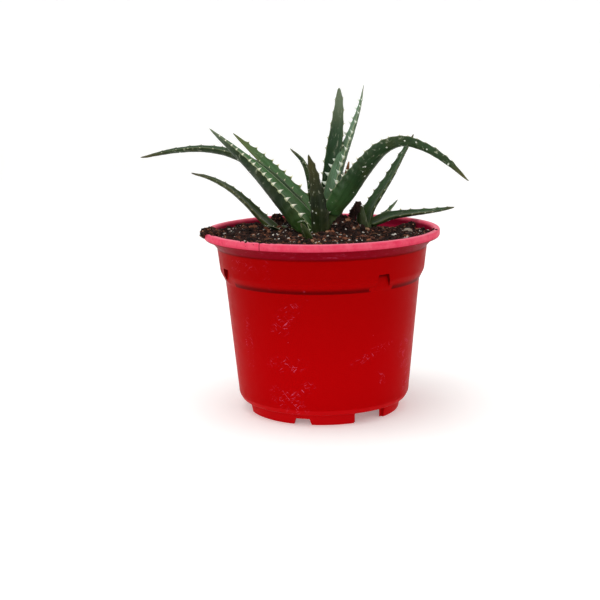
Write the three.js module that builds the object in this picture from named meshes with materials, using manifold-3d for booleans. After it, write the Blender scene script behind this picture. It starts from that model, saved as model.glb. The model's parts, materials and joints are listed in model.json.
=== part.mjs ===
// A small toothed aloe in a red nursery pot, in millimetres, +Z up.
// The origin is on the pot's axis, on the surface that the pot stands on.
// Seen from the front, along +Y, +X is to the right.

import * as THREE from 'three';
import { mergeVertices } from 'three/addons/utils/BufferGeometryUtils.js';
import Module from 'manifold-3d';

const wasm = await Module();
wasm.setup();

// Clearance between neighbouring pieces
const GAP = 0.3;
// Two vertices closer than this are one
const WELD = 1e-4;

// Pot sizes: each pair is a radius and a height
const POT_HEIGHT = 93;
const RIM_RADIUS = 60;
const POT_SIDES = 40;
const HUB = { radius: 10, spread: 11, inner: 9.2, floor: 1.2 };
const FOOT = { inner: 37.2, outer: 38.8, spread: 39.8, top: 5.3 };
const FLOOR = { bottom: 5.7, top: 6.9, edge: 41.2, middle: 12 };
const HEEL = { radius: 42.5, height: 6 };
const CONE_FOOT = { radius: 44, height: 8.7 };
const STEP_FOOT = { radius: 49.6, height: 67.5 };
const STEP_TOP = { radius: 52.1, height: 72.6 };
const BAND_TOP = { radius: 53.5, height: 84.6 };
const FLARE_TOP = { radius: 57.2, height: 88.8 };
const LIP = { bottom: 89, round: 0.8, top: 57.5, inner: 56.5 };
const WALL = 1.2;
const FLARE_WALL = 1;
// How far up the inner corners of the wall sit above the outer ones
const CORNER_RISE = 0.25;

// What breaks the foot ring and the floor: azimuths in degrees, 0 at the front, positive to the right
const THIRD = 120;
const FOOT_GAP = { azimuth: 36, width: 27, height: FLOOR.bottom };
const FOOT_NOTCH = { azimuth: -16, width: 8, height: 3.2 };
const FOOT_CUT = { inner: FOOT.inner - 1, outer: FOOT.outer + 3 };
const DRAIN = { radius: 3.4, ring: 30, count: 6, azimuth: 6, sides: 12, depth: 4 };

// Stacking notches, where the lower wall reaches up into the upper band, and the boss behind each
const NOTCH = { azimuths: [34.5, -66, 164], width: 7.5, bottom: 66, top: 75.9, radius: 50.2 };
const BOSS = { width: 10.5, top: 77.1, inner: 48.9 };

// Soil surface: a tilted plane with hollows, mounds and lumps
const SOIL = {
  height: 90.4, fallBack: 0.03, fallRight: 0.012, top: 99, sides: 20, rings: 8, spokes: 28,
};
const RIPPLE = { height: 0.45, waves: [[0.31, 0, 1.3], [0.4, 0.37, 0], [0.52, -0.41, 0]] };
const MOUNDS = [
  { x: 40, y: 36, rise: -2.0, spread: 16 },
  { x: 12, y: -1, rise: 5, spread: 8 },
  { x: -26, y: 25, rise: 1.4, spread: 10 },
  { x: -8, y: -32, rise: 0.8, spread: 12 },
];
const CRUMBS = {
  count: 36, reach: 49, smallest: 1, largest: 2.3, narrow: 0.7, low: 0.8, lift: 0.2, seed: 11,
};

// Leaf section: points along the rounded outer face, points across the channelled inner face, stations
const OUTER_POINTS = 4;
const CHANNEL_POINTS = 3;
const STATIONS = 10;
const THINNEST = 0.8;
// The width as a share at the base and how fast it fills out, how the thickness follows the width, how far
// the margins stand in front of the spine and the channel lies behind them, how round the outer face is,
// how the stations crowd towards the tip, and how far the base runs on behind the first
const LEAF = {
  base: 0.72, fill: 2.4, thin: 0.7, lift: 0.25, channel: 0.3, round: 0.8, crowd: 0.2, butt: 0.12,
};
const TOOTH = {
  length: 2.2, along: 1.9, thick: 1.1, sunk: 0.6, sides: 3, shrink: 0.45, fullWidth: 9, seed: 17,
  first: 2, last: 0.9, closest: 0.75, vary: 0.5, out: 0.55, hook: 0.3, rise: 0.8,
};

const GREEN = { color: 0x2f4a2c, roughness: 0.5, metalness: 0 };
const BRIGHT_GREEN = { color: 0x3f6b3a, roughness: 0.5, metalness: 0 };
const DRY_BROWN = { color: 0x6b3b28, roughness: 0.9, metalness: 0 };
const PEAT = { color: 0x2a1c17, roughness: 1, metalness: 0 };
const RED = { color: 0xa4020b, roughness: 0.4, metalness: 0 };
const GREY = { color: 0x9a8f80, roughness: 0.9, metalness: 0 };

// Each leaf: points of its spine from base to tip, its full width and thickness near the base, how fast
// it narrows, the side that its channelled face looks to, and the spacing of the teeth on its margins.
// A leaf is cut clear of the stem and of the leaves that stand before it in its list.
const MAIN_LEAVES = {
  leaf_front: {
    spine: [[0, -9, 89], [-0.5, -10, 96], [-1.5, -11.5, 106], [-3, -13, 118], [-6, -14, 131.5]],
    width: 10.5, thick: 5.5, taper: 0.6, face: [0.1, 1, 0.2], teeth: 6.5, color: GREEN,
  },
  leaf_right_arching: {
    spine: [[5, -2.5, 102], [12, -6, 112], [21, -13, 124], [30.5, -20, 133.5], [40, -27, 136.5],
      [51, -34, 133], [61, -40, 126.5], [69.5, -45, 120]],
    width: 15, thick: 7, taper: 0.78, face: [-0.4, 0.6, 0.8], teeth: 6, color: GREEN,
  },
  leaf_tall_narrow: {
    spine: [[4, 4, 100], [6, 8, 115], [10.5, 12, 128], [15.5, 17, 140], [20, 22, 152], [23, 26, 164]],
    width: 12.5, thick: 6, taper: 1.15, face: [-0.93, -0.3, 0.3], teeth: 5, color: BRIGHT_GREEN,
  },
  leaf_tall: {
    spine: [[2.5, 9, 97], [5, 13, 112], [6.5, 14.5, 127], [8.5, 16.5, 142], [9.8, 17.5, 154], [10, 17.5, 163]],
    width: 11.5, thick: 4.5, taper: 0.55, face: [0.05, -1, 0.15], teeth: 6, color: GREEN,
  },
  leaf_small: {
    spine: [[-1.5, 3, 98], [-3.5, 5, 108], [-5.5, 7, 119], [-9, 8, 127], [-15.5, 9, 133]],
    width: 7.5, thick: 4.5, taper: 0.7, face: [0.9, -0.1, 0.3], teeth: 7, color: GREEN,
  },
  leaf_left_channelled: {
    spine: [[-4, 0, 92], [-10, 1, 99.5], [-19.5, 5, 110], [-30.5, 11, 121], [-42.5, 17, 131.3], [-58, 25, 143]],
    width: 19.5, thick: 9, taper: 0.98, face: [0.53, -0.46, 0.7], teeth: 5, color: BRIGHT_GREEN,
  },
  leaf_left_back: {
    spine: [[-2, 8, 96], [-9.5, 16, 102.5], [-19, 25, 112], [-30, 35, 122.5], [-47.5, 50, 138.5]],
    width: 10, thick: 4.5, taper: 0.75, face: [0.5, -0.5, 0.7], teeth: 6, color: GREEN,
  },
  leaf_left_long: {
    spine: [[-4, 7, 94], [-16, 14, 108], [-30, 21.5, 121], [-45, 27, 129.5], [-60.5, 31, 132.5],
      [-77.5, 34, 131.5], [-96.5, 36, 127.5]],
    width: 12.5, thick: 5.5, taper: 0.62, face: [0.45, -0.2, 0.9], teeth: 6.5, color: GREEN,
  },
  leaf_back_upright: {
    spine: [[5, 9, 98], [7.5, 16, 109], [9.5, 25, 119], [10.5, 34, 127]],
    width: 9.5, thick: 4, taper: 0.75, face: [-0.2, -0.7, 0.7], teeth: 5.5, color: GREEN,
  },
  leaf_back_low: {
    spine: [[2, 8, 93], [2, 18, 97.5], [2, 31, 102.5], [3, 45, 105.5], [5, 58, 105.5]],
    width: 12, thick: 4.5, taper: 0.75, face: [-0.1, -0.6, 0.8], teeth: 6, color: GREEN,
  },
};

const LEFT_OFFSET = {
  left_offset_leaf_long: {
    spine: [[-22, 17, 89], [-31.5, 23, 96.5], [-39.5, 28, 104], [-49.5, 33, 111.5], [-60.5, 37, 116.5],
      [-70, 40, 118.5]],
    width: 7.5, thick: 4, taper: 0.6, face: [0.3, -0.2, 0.9], teeth: 6, color: GREEN,
  },
  left_offset_leaf_front: {
    spine: [[-21, 13, 88.5], [-23, 9, 91], [-26, 4, 93.5], [-29.5, 0, 94.5]],
    width: 6, thick: 2.4, taper: 0.7, face: [0.3, 0.4, 0.9], teeth: 4, color: GREEN,
  },
  left_offset_leaf_right: {
    spine: [[-17, 17, 88.5], [-13.5, 14.5, 92], [-11.5, 11, 95], [-10.5, 7.5, 96.5]],
    width: 5, thick: 2.2, taper: 0.7, face: [-0.4, 0.5, 0.8], teeth: 4, color: GREEN,
  },
};

const RIGHT_OFFSET = {
  right_offset_leaf_up: {
    spine: [[23, 19, 90], [25, 21, 99.5], [30.5, 24, 108], [36.5, 28, 116.5], [43.3, 33, 127], [49.5, 38, 136.5]],
    width: 8, thick: 4, taper: 0.6, face: [-0.6, -0.5, 0.6], teeth: 5.5, color: GREEN,
  },
  right_offset_sheath: {
    spine: [[21, 13, 89], [21, 13, 93], [20.5, 14, 98], [20.5, 15.5, 102.5]],
    width: 7, thick: 4, taper: 0.4, face: [0.3, 0.9, 0.2], teeth: 0, color: GREEN,
  },
  right_offset_leaf_low: {
    spine: [[26, 20, 92.5], [35, 23, 95.8], [47, 26, 97], [59, 29, 97.6], [71, 30, 99]],
    width: 8.5, thick: 3.6, taper: 0.6, face: [-0.1, -0.3, 1], teeth: 6, color: GREEN,
  },
  right_offset_leaf_tiny: {
    spine: [[27, 26, 90], [31, 28.5, 94], [36, 31.5, 98], [41, 34.5, 103]],
    width: 5, thick: 2.4, taper: 0.7, face: [-0.5, -0.4, 0.7], teeth: 5, color: GREEN,
  },
};

const FRONT_PUP = {
  front_pup_leaf: {
    spine: [[-6.5, -30, 88.5], [-7, -31.5, 93], [-8, -32.5, 96], [-10, -33, 100]],
    width: 6.5, thick: 3, taper: 0.6, face: [0.2, 1, 0.2], teeth: 0, color: GREEN,
  },
  front_pup_leaf_back: {
    spine: [[-5.5, -24, 89], [-6.5, -24.5, 95], [-8.5, -25.5, 100], [-12, -26.5, 99.5]],
    width: 4.5, thick: 2, taper: 0.6, face: [0.7, 0.2, 0.6], teeth: 3.5, color: BRIGHT_GREEN,
  },
};

const WITHERED = {
  withered_leaf_scrap: {
    spine: [[9, 3, 100], [11.5, 5, 110], [13, 7, 119], [14.5, 9, 126]],
    width: 5, thick: 2.2, taper: 0.5, face: [-0.5, -0.7, 0.3], teeth: 0, color: DRY_BROWN,
  },
};

// Round stems and stubs: points of the spine and the radius at each
const MAIN_STEM = {
  spine: [[3, 1, 78], [3.5, 1, 86], [4, 1, 92], [4.5, 1, 98], [4.5, 1.5, 102]],
  radii: [3, 6.5, 8, 7.5, 4.5],
};
const LEFT_STEM = { spine: [[-19, 16, 80], [-19.5, 16, 86], [-20, 16.5, 91.5]], radii: [1.6, 3.4, 2.4] };
const RIGHT_STEM = { spine: [[22, 17, 80], [22.5, 17, 86], [23.5, 19, 92.5]], radii: [1.8, 4, 2.6] };
const PUP_STEM = { spine: [[-5, -27, 80], [-5, -27, 86], [-5.5, -27.5, 91.5]], radii: [1.4, 2.6, 1.8] };
const STUB = {
  spine: [[14, 9, 86], [14.5, 9.5, 92], [15.5, 10, 96], [17, 10.5, 99.5], [18.5, 11, 102.5], [19, 11, 104.5]],
  radii: [4, 5, 3, 1.7, 2.4, 1.2],
};
const STEM = { sides: 10, ringsPerPoint: 2, dome: 0.4 };

// Loose lumps: centre and half sizes
const LUMPS = {
  clod_on_rim: { seed: 3, color: PEAT, balls: [
    [-58, -15, 94.9, 2.7, 4.2, 1.9], [-55.6, -10, 94.7, 2.8, 3.6, 1.9], [-53.8, -16, 93.2, 2.8, 3.6, 2.4],
    [-60, -12.5, 93, 1.8, 2.6, 2.6]] },
  clod_at_back: { seed: 5, color: PEAT, balls: [
    [-24, 36, 92.4, 3.2, 3.2, 3.8], [-21.5, 37, 91, 2.6, 2.6, 2.6], [-26.5, 37, 91, 2.4, 2.4, 2.4]] },
  bark_chunk: { seed: 7, color: PEAT, balls: [
    [44, 20, 89.6, 4, 2.6, 2.2], [47, 21, 90.6, 2.4, 2, 2], [41.5, 21, 89, 2.6, 2, 1.6]] },
  pebble: { seed: 9, color: GREY, balls: [[44, 2, 90, 2.5, 2.2, 1.9]] },
};

function seededRandom(seed) {
  let state = seed;
  return () => {
    state = (state * 48271) % 2147483647;
    return state / 2147483647;
  };
}

// A closed solid from a closed geometry: shared vertices merged, empty triangles dropped, faces outwards
function solidFrom(geometry) {
  const bare = geometry.clone();
  bare.deleteAttribute('normal');
  bare.deleteAttribute('uv');
  const merged = mergeVertices(bare, WELD);
  const points = merged.attributes.position.array;
  const corners = merged.index.array;
  const kept = [];
  let volume = 0;
  for (let i = 0; i < corners.length; i += 3) {
    const [a, b, c] = [corners[i], corners[i + 1], corners[i + 2]];
    if (a === b || b === c || c === a) continue;
    kept.push(a, b, c);
    const p = new THREE.Vector3().fromArray(points, a * 3);
    const q = new THREE.Vector3().fromArray(points, b * 3);
    const r = new THREE.Vector3().fromArray(points, c * 3);
    volume += p.dot(q.cross(r));
  }
  const triVerts = Uint32Array.from(volume < 0 ? kept.reverse() : kept);
  return new wasm.Manifold(new wasm.Mesh({ numProp: 3, vertProperties: Float32Array.from(points), triVerts }));
}

// The largest body of a solid that a cut may have left in pieces
function largest(solid) {
  return solid.decompose().reduce((best, piece) => (piece.volume() > best.volume() ? piece : best));
}

function joined(solids) {
  return solids.reduce((whole, solid) => whole.add(solid));
}

function meshFrom(name, solid, look) {
  const { vertProperties, triVerts } = solid.getMesh();
  const geometry = new THREE.BufferGeometry();
  geometry.setAttribute('position', new THREE.BufferAttribute(Float32Array.from(vertProperties), 3));
  geometry.setIndex(new THREE.BufferAttribute(Uint32Array.from(triVerts), 1));
  geometry.computeVertexNormals();
  const mesh = new THREE.Mesh(geometry, new THREE.MeshStandardMaterial(look));
  mesh.name = name;
  return mesh;
}

// A solid of revolution about Z from pairs of radius and height
function turned(profile, sides = POT_SIDES) {
  const geometry = new THREE.LatheGeometry(profile.map(([r, z]) => new THREE.Vector2(r, z)), sides);
  geometry.rotateX(Math.PI / 2);
  return solidFrom(geometry);
}

// A block between two radii and two heights, centred on an azimuth
function arcBlock(inner, outer, azimuth, width, bottom, top) {
  const middle = THREE.MathUtils.degToRad(azimuth - 90);
  const half = THREE.MathUtils.degToRad(width / 2);
  const shape = new THREE.Shape();
  shape.absarc(0, 0, outer, middle - half, middle + half, false);
  shape.absarc(0, 0, inner, middle + half, middle - half, true);
  shape.closePath();
  const settings = { depth: top - bottom, bevelEnabled: false, curveSegments: 6 };
  const geometry = new THREE.ExtrudeGeometry(shape, settings);
  geometry.translate(0, 0, bottom);
  return solidFrom(geometry);
}

// Rings of points joined by faces, closed at both ends
function skinned(rings, start, end) {
  const sides = rings[0].length;
  const positions = [start, ...rings.flat(), end].flatMap((p) => [p.x, p.y, p.z]);
  const index = [];
  const at = (ring, side) => 1 + ring * sides + (side % sides);
  const last = rings.length * sides + 1;
  for (let side = 0; side < sides; side += 1) {
    index.push(0, at(0, side + 1), at(0, side));
    index.push(last, at(rings.length - 1, side), at(rings.length - 1, side + 1));
    for (let ring = 0; ring < rings.length - 1; ring += 1) {
      index.push(at(ring, side), at(ring, side + 1), at(ring + 1, side));
      index.push(at(ring, side + 1), at(ring + 1, side + 1), at(ring + 1, side));
    }
  }
  const geometry = new THREE.BufferGeometry();
  geometry.setAttribute('position', new THREE.Float32BufferAttribute(positions, 3));
  geometry.setIndex(index);
  return solidFrom(geometry);
}

// How wide a leaf is at a share of its length, as a share of its full width
function leafShare(leaf, t) {
  const filled = Math.min(1, LEAF.base + LEAF.fill * t);
  return filled * (1 - t) ** leaf.taper;
}

function leafThickness(leaf, share) {
  return Math.max(leaf.thick * share ** LEAF.thin, THINNEST);
}

// Place, direction, side and face of a leaf at a share of its length
function leafFrame(leaf, curve, t) {
  const place = curve.getPointAt(t);
  const along = curve.getTangentAt(t);
  const face = new THREE.Vector3(...leaf.face);
  face.addScaledVector(along, -face.dot(along)).normalize();
  const side = new THREE.Vector3().crossVectors(along, face);
  return { place, along, face, side };
}

function spineOf(points) {
  return new THREE.CatmullRomCurve3(points.map((p) => new THREE.Vector3(...p)), false, 'centripetal');
}

// One ring of a leaf: round outer face, then back across the channelled inner face
function leafRing(leaf, frame, share, grow) {
  const half = (leaf.width / 2) * share + grow;
  const belly = leafThickness(leaf, share) + grow;
  const front = LEAF.lift * belly;
  const channel = Math.min(LEAF.channel * half * share, belly - THINNEST) - grow;
  const point = (across, up) => frame.place.clone()
    .addScaledVector(frame.side, across).addScaledVector(frame.face, up);
  const ring = [];
  for (let i = 0; i <= OUTER_POINTS; i += 1) {
    const angle = (Math.PI * i) / OUTER_POINTS;
    ring.push(point(-half * Math.cos(angle), front - belly * Math.sin(angle) ** LEAF.round));
  }
  for (let i = 1; i <= CHANNEL_POINTS; i += 1) {
    const across = 1 - (2 * i) / (CHANNEL_POINTS + 1);
    ring.push(point(half * across, front - channel * (1 - across * across)));
  }
  return ring;
}

// One tooth on a margin: a three-sided spike that leans over the channel, its root sunk into the leaf
function toothSolid(leaf, curve, t, sign, grow) {
  const share = leafShare(leaf, t);
  const frame = leafFrame(leaf, curve, t);
  const size = (1 - TOOTH.shrink * t) * Math.min(1, leaf.width / TOOTH.fullWidth);
  const front = LEAF.lift * leafThickness(leaf, share);
  const point = new THREE.Vector3().copy(frame.side).multiplyScalar(sign * TOOTH.out);
  point.addScaledVector(frame.along, TOOTH.hook).addScaledVector(frame.face, TOOTH.rise).normalize();
  const cone = new THREE.ConeGeometry(1, 1, TOOTH.sides, 1);
  cone.translate(0, 0.5, 0);
  cone.scale(
    (TOOTH.thick * size) / 2 + 2 * grow,
    TOOTH.length * size + TOOTH.sunk + 4 * grow,
    (TOOTH.along * size) / 2 + 2 * grow,
  );
  const up = new THREE.Vector3().crossVectors(point, frame.along).normalize();
  const flat = new THREE.Vector3().crossVectors(up, point);
  const root = frame.place.clone()
    .addScaledVector(frame.side, (sign * leaf.width * share) / 2)
    .addScaledVector(frame.face, front)
    .addScaledVector(point, -TOOTH.sunk - grow);
  cone.applyMatrix4(new THREE.Matrix4().makeBasis(up, point, flat).setPosition(root));
  return solidFrom(cone);
}

function leafTeeth(leaf, curve, grow) {
  const teeth = [];
  if (leaf.teeth === 0) return teeth;
  const random = seededRandom(TOOTH.seed + Math.round(leaf.width * 10));
  const length = curve.getLength();
  for (const sign of [-1, 1]) {
    let place = leaf.teeth * (TOOTH.first + random());
    while (place < length * TOOTH.last) {
      teeth.push(toothSolid(leaf, curve, place / length, sign, grow));
      place += leaf.teeth * (TOOTH.closest + TOOTH.vary * random());
    }
  }
  return teeth;
}

// A fleshy leaf with its teeth, or the same leaf grown all round to cut its neighbours clear of it
function leafSolid(leaf, grow = 0) {
  const curve = spineOf(leaf.spine);
  const rings = [];
  for (let i = 0; i < STATIONS; i += 1) {
    const u = i / STATIONS;
    const t = u + LEAF.crowd * u * (1 - u);
    rings.push(leafRing(leaf, leafFrame(leaf, curve, t), leafShare(leaf, t), grow));
  }
  const first = leafFrame(leaf, curve, 0);
  const tip = leafFrame(leaf, curve, 1);
  const start = first.place.addScaledVector(first.along, -LEAF.butt * leaf.width - grow);
  const end = tip.place.addScaledVector(tip.along, 3 * grow);
  return joined([skinned(rings, start, end), ...leafTeeth(leaf, curve, grow)]);
}

// A round stem with rounded ends
function stemSolid(stem, grow = 0) {
  const curve = spineOf(stem.spine);
  const last = stem.radii.length - 1;
  const rings = [];
  const steps = last * STEM.ringsPerPoint;
  for (let i = 0; i <= steps; i += 1) {
    const t = i / steps;
    const low = Math.min(last - 1, Math.floor(t * last));
    const radius = THREE.MathUtils.lerp(stem.radii[low], stem.radii[low + 1], t * last - low) + grow;
    const place = curve.getPoint(t);
    const ring = [];
    for (let j = 0; j < STEM.sides; j += 1) {
      const angle = (2 * Math.PI * j) / STEM.sides;
      const offset = new THREE.Vector3(Math.cos(angle) * radius, Math.sin(angle) * radius, 0);
      ring.push(place.clone().add(offset));
    }
    rings.push(ring);
  }
  const rise = new THREE.Vector3(0, 0, 1);
  const start = curve.getPoint(0).addScaledVector(rise, -STEM.dome * stem.radii[0] - grow);
  const end = curve.getPoint(1).addScaledVector(rise, STEM.dome * stem.radii[last] + grow);
  return skinned(rings, start, end);
}

// An uneven lump with few faces
function lumpSolid([x, y, z, halfX, halfY, halfZ], random, grow = 0, Shape = THREE.IcosahedronGeometry) {
  const geometry = new Shape(1, 0);
  const turn = new THREE.Euler(2 * Math.PI * random(), 2 * Math.PI * random(), 2 * Math.PI * random());
  geometry.applyMatrix4(new THREE.Matrix4().makeRotationFromEuler(turn));
  geometry.scale(halfX + grow, halfY + grow, halfZ + grow);
  geometry.translate(x, y, z);
  return solidFrom(geometry);
}

function soilHeight(x, y) {
  let z = SOIL.height - SOIL.fallBack * y - SOIL.fallRight * x;
  for (const mound of MOUNDS) {
    const distance = Math.hypot(x - mound.x, y - mound.y) / mound.spread;
    z += mound.rise * Math.exp(-distance * distance);
  }
  for (const [alongX, alongY, shift] of RIPPLE.waves) {
    z += RIPPLE.height * Math.sin(alongX * x + alongY * y + shift);
  }
  return z;
}

function potSolid() {
  const inside = ({ radius, height }) => [radius - WALL, height + CORNER_RISE];
  const outer = [
    [FOOT.spread, FOOT.top],
    [HEEL.radius, HEEL.height],
    [CONE_FOOT.radius, CONE_FOOT.height],
    [STEP_FOOT.radius, STEP_FOOT.height],
    [STEP_TOP.radius, STEP_TOP.height],
    [BAND_TOP.radius, BAND_TOP.height],
  ];
  let pot = turned([
    [0, 0],
    [HUB.radius, 0],
    [HUB.spread, FLOOR.bottom],
    [FOOT.inner, FLOOR.bottom],
    [FOOT.inner, 0],
    [FOOT.outer, 0],
    ...outer,
    [FLARE_TOP.radius, FLARE_TOP.height],
    [RIM_RADIUS - LIP.round, LIP.bottom],
    [RIM_RADIUS, LIP.bottom + LIP.round],
    [RIM_RADIUS, POT_HEIGHT - LIP.round],
    [RIM_RADIUS - LIP.round, POT_HEIGHT],
    [LIP.top, POT_HEIGHT],
    [LIP.inner, POT_HEIGHT - LIP.round],
    [FLARE_TOP.radius - FLARE_WALL, FLARE_TOP.height],
    [BAND_TOP.radius - FLARE_WALL, BAND_TOP.height],
    inside(STEP_TOP),
    inside(STEP_FOOT),
    inside(CONE_FOOT),
    [FLOOR.edge, FLOOR.top],
    [FLOOR.middle, FLOOR.top],
    [HUB.inner, HUB.floor],
    [0, HUB.floor],
  ]);
  const bulk = turned([[0, FOOT.top], ...outer, [0, BAND_TOP.height]]);
  for (const azimuth of NOTCH.azimuths) {
    const boss = arcBlock(BOSS.inner, RIM_RADIUS, azimuth, BOSS.width, NOTCH.bottom, BOSS.top);
    const pocket = arcBlock(NOTCH.radius, RIM_RADIUS, azimuth, NOTCH.width, NOTCH.bottom, NOTCH.top);
    pot = pot.add(boss.intersect(bulk)).subtract(pocket);
  }
  for (let i = 0; i < 3; i += 1) {
    for (const cut of [FOOT_GAP, FOOT_NOTCH]) {
      const azimuth = cut.azimuth + i * THIRD;
      pot = pot.subtract(arcBlock(FOOT_CUT.inner, FOOT_CUT.outer, azimuth, cut.width, -1, cut.height));
    }
  }
  const floorMiddle = (FLOOR.bottom + FLOOR.top) / 2;
  for (let i = 0; i < DRAIN.count; i += 1) {
    const angle = THREE.MathUtils.degToRad(DRAIN.azimuth + (i * 360) / DRAIN.count);
    const hole = new THREE.CylinderGeometry(DRAIN.radius, DRAIN.radius, DRAIN.depth, DRAIN.sides);
    hole.rotateX(Math.PI / 2);
    hole.translate(DRAIN.ring * Math.sin(angle), -DRAIN.ring * Math.cos(angle), floorMiddle);
    pot = pot.subtract(solidFrom(hole));
  }
  return pot;
}

// Everything above the soil's surface, as a closed solid that cuts the filling to shape
function airAboveSoil() {
  const reach = RIM_RADIUS + 2;
  const rings = [];
  const surface = [];
  for (let i = 1; i <= SOIL.rings; i += 1) {
    const radius = (reach * i) / SOIL.rings;
    const ring = [];
    for (let j = 0; j < SOIL.spokes; j += 1) {
      const angle = (2 * Math.PI * (j + 0.5 * (i % 2))) / SOIL.spokes;
      const [x, y] = [radius * Math.cos(angle), radius * Math.sin(angle)];
      ring.push(new THREE.Vector3(x, y, soilHeight(x, y)));
    }
    surface.push(ring);
  }
  rings.push(...surface, surface[surface.length - 1].map((p) => new THREE.Vector3(p.x, p.y, SOIL.top + 5)));
  const start = new THREE.Vector3(0, 0, soilHeight(0, 0));
  return skinned(rings, start, new THREE.Vector3(0, 0, SOIL.top + 5));
}

// A crumb on the soil, half sunk
function crumbSolid(random) {
  const radius = CRUMBS.reach * Math.sqrt(random());
  const angle = 2 * Math.PI * random();
  const size = CRUMBS.smallest + (CRUMBS.largest - CRUMBS.smallest) * random() ** 2;
  const [x, y] = [radius * Math.cos(angle), radius * Math.sin(angle)];
  const halfY = size * THREE.MathUtils.lerp(CRUMBS.narrow, 1, random());
  const ball = [x, y, soilHeight(x, y) + CRUMBS.lift * size, size, halfY, size * CRUMBS.low];
  return lumpSolid(ball, random, 0, THREE.OctahedronGeometry);
}

// The filling, clear of the pot's wall and bosses and with a plain hole for each plant and lump
function soilSolid(plants) {
  const inside = ({ radius, height }) => [radius - WALL - GAP, height + CORNER_RISE + GAP];
  const brim = FLARE_TOP.radius - FLARE_WALL - GAP;
  const filling = turned([
    [0, HUB.floor + GAP],
    [HUB.inner - GAP, HUB.floor + GAP],
    [FLOOR.middle - GAP, FLOOR.top + GAP],
    [FLOOR.edge - GAP, FLOOR.top + GAP],
    inside(CONE_FOOT),
    inside(STEP_FOOT),
    inside(STEP_TOP),
    [BAND_TOP.radius - FLARE_WALL - GAP, BAND_TOP.height],
    [brim, FLARE_TOP.height],
    [brim, SOIL.top],
    [0, SOIL.top],
  ], SOIL.sides);
  let soil = filling.subtract(airAboveSoil());
  const random = seededRandom(CRUMBS.seed);
  const crumbs = [];
  for (let i = 0; i < CRUMBS.count; i += 1) crumbs.push(crumbSolid(random));
  soil = soil.add(joined(crumbs));
  for (const azimuth of NOTCH.azimuths) {
    soil = soil.subtract(
      arcBlock(BOSS.inner - GAP, RIM_RADIUS, azimuth, BOSS.width + 1, NOTCH.bottom - GAP, BOSS.top + GAP),
    );
  }
  return largest(soil.subtract(joined(plants)));
}

// Leaves of one cluster, each cut clear of what is taken, which grows by each of them
function clusterMeshes(leaves, stem, taken) {
  const meshes = [];
  let blocked = taken.add(stemSolid(stem, GAP));
  for (const [name, leaf] of Object.entries(leaves)) {
    meshes.push(meshFrom(name, largest(leafSolid(leaf).subtract(blocked)), leaf.color));
    blocked = blocked.add(leafSolid(leaf, GAP));
  }
  return { meshes, blocked };
}

// The lip and its clearance, which cuts what lies on it
function rimBlock() {
  return turned([
    [LIP.inner - GAP, LIP.bottom - GAP],
    [RIM_RADIUS + GAP, LIP.bottom - GAP],
    [RIM_RADIUS + GAP, POT_HEIGHT + GAP],
    [LIP.inner - GAP, POT_HEIGHT + GAP],
    [LIP.inner - GAP, LIP.bottom - GAP],
  ]);
}

function clodSolid(lump, grow = 0) {
  const random = seededRandom(lump.seed);
  return joined(lump.balls.map((ball) => lumpSolid(ball, random, grow)));
}

const part = new THREE.Group();
part.add(meshFrom('dry_stub', stemSolid(STUB), PEAT));
let plants = stemSolid(STUB, GAP);

const clusters = {
  main_stem: { stem: MAIN_STEM, leaves: { ...MAIN_LEAVES, ...WITHERED } },
  left_offset_stem: { stem: LEFT_STEM, leaves: LEFT_OFFSET },
  right_offset_stem: { stem: RIGHT_STEM, leaves: RIGHT_OFFSET },
  front_pup_stem: { stem: PUP_STEM, leaves: FRONT_PUP },
};
for (const [name, { stem, leaves }] of Object.entries(clusters)) {
  part.add(meshFrom(name, largest(stemSolid(stem).subtract(plants)), BRIGHT_GREEN));
  const { meshes, blocked } = clusterMeshes(leaves, stem, plants);
  part.add(...meshes);
  plants = blocked;
}

const rim = rimBlock();
const lumpHoles = [];
for (const [name, lump] of Object.entries(LUMPS)) {
  part.add(meshFrom(name, largest(clodSolid(lump).subtract(plants).subtract(rim)), lump.color));
  lumpHoles.push(clodSolid(lump, GAP));
}

part.add(meshFrom('soil', soilSolid([plants, ...lumpHoles]), PEAT));
part.add(meshFrom('pot', potSolid(), RED));

export default part;
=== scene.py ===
"""A potted bora aloe: toothed, white-spotted leaves in peat, in a scuffed red nursery pot.

Sizes are millimetres in the shared frame, with Z up and the pot standing on Z = 0.
Azimuths run round the pot in degrees from its front, positive towards its right side.
"""

from __future__ import annotations

import json
import logging
import math
import random
from collections.abc import Iterator, Sequence
from dataclasses import dataclass, field
from enum import Enum
from typing import Any, ClassVar

import bmesh
import bpy
import numpy as np
from mathutils import Matrix, Vector, noise


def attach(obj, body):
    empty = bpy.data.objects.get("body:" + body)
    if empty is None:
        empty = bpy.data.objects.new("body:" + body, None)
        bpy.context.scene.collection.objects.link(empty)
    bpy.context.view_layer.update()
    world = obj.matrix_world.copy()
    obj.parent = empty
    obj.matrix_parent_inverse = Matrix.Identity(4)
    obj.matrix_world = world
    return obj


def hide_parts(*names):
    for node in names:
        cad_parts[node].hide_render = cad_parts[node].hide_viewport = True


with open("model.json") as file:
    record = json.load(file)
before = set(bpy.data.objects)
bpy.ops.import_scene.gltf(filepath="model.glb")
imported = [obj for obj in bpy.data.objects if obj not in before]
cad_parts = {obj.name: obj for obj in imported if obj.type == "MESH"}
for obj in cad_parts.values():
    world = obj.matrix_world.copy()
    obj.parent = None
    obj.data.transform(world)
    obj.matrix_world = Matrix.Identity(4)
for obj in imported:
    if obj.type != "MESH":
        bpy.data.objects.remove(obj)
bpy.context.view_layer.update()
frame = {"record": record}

LOG = logging.getLogger("aloe")
MM = 0.001
BODY = "root"
NOISE_SEED = 11

Point = tuple[float, float, float]
Colour = tuple[float, float, float]
Span = tuple[float, float]


class Slot(Enum):
    """The record's material slots."""

    RED = "red_plastic"
    GREEN = "leaf_green"
    BRIGHT = "leaf_bright"
    DRY = "dry_brown"
    PEAT = "peat"
    PEBBLE = "pebble_grey"


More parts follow.
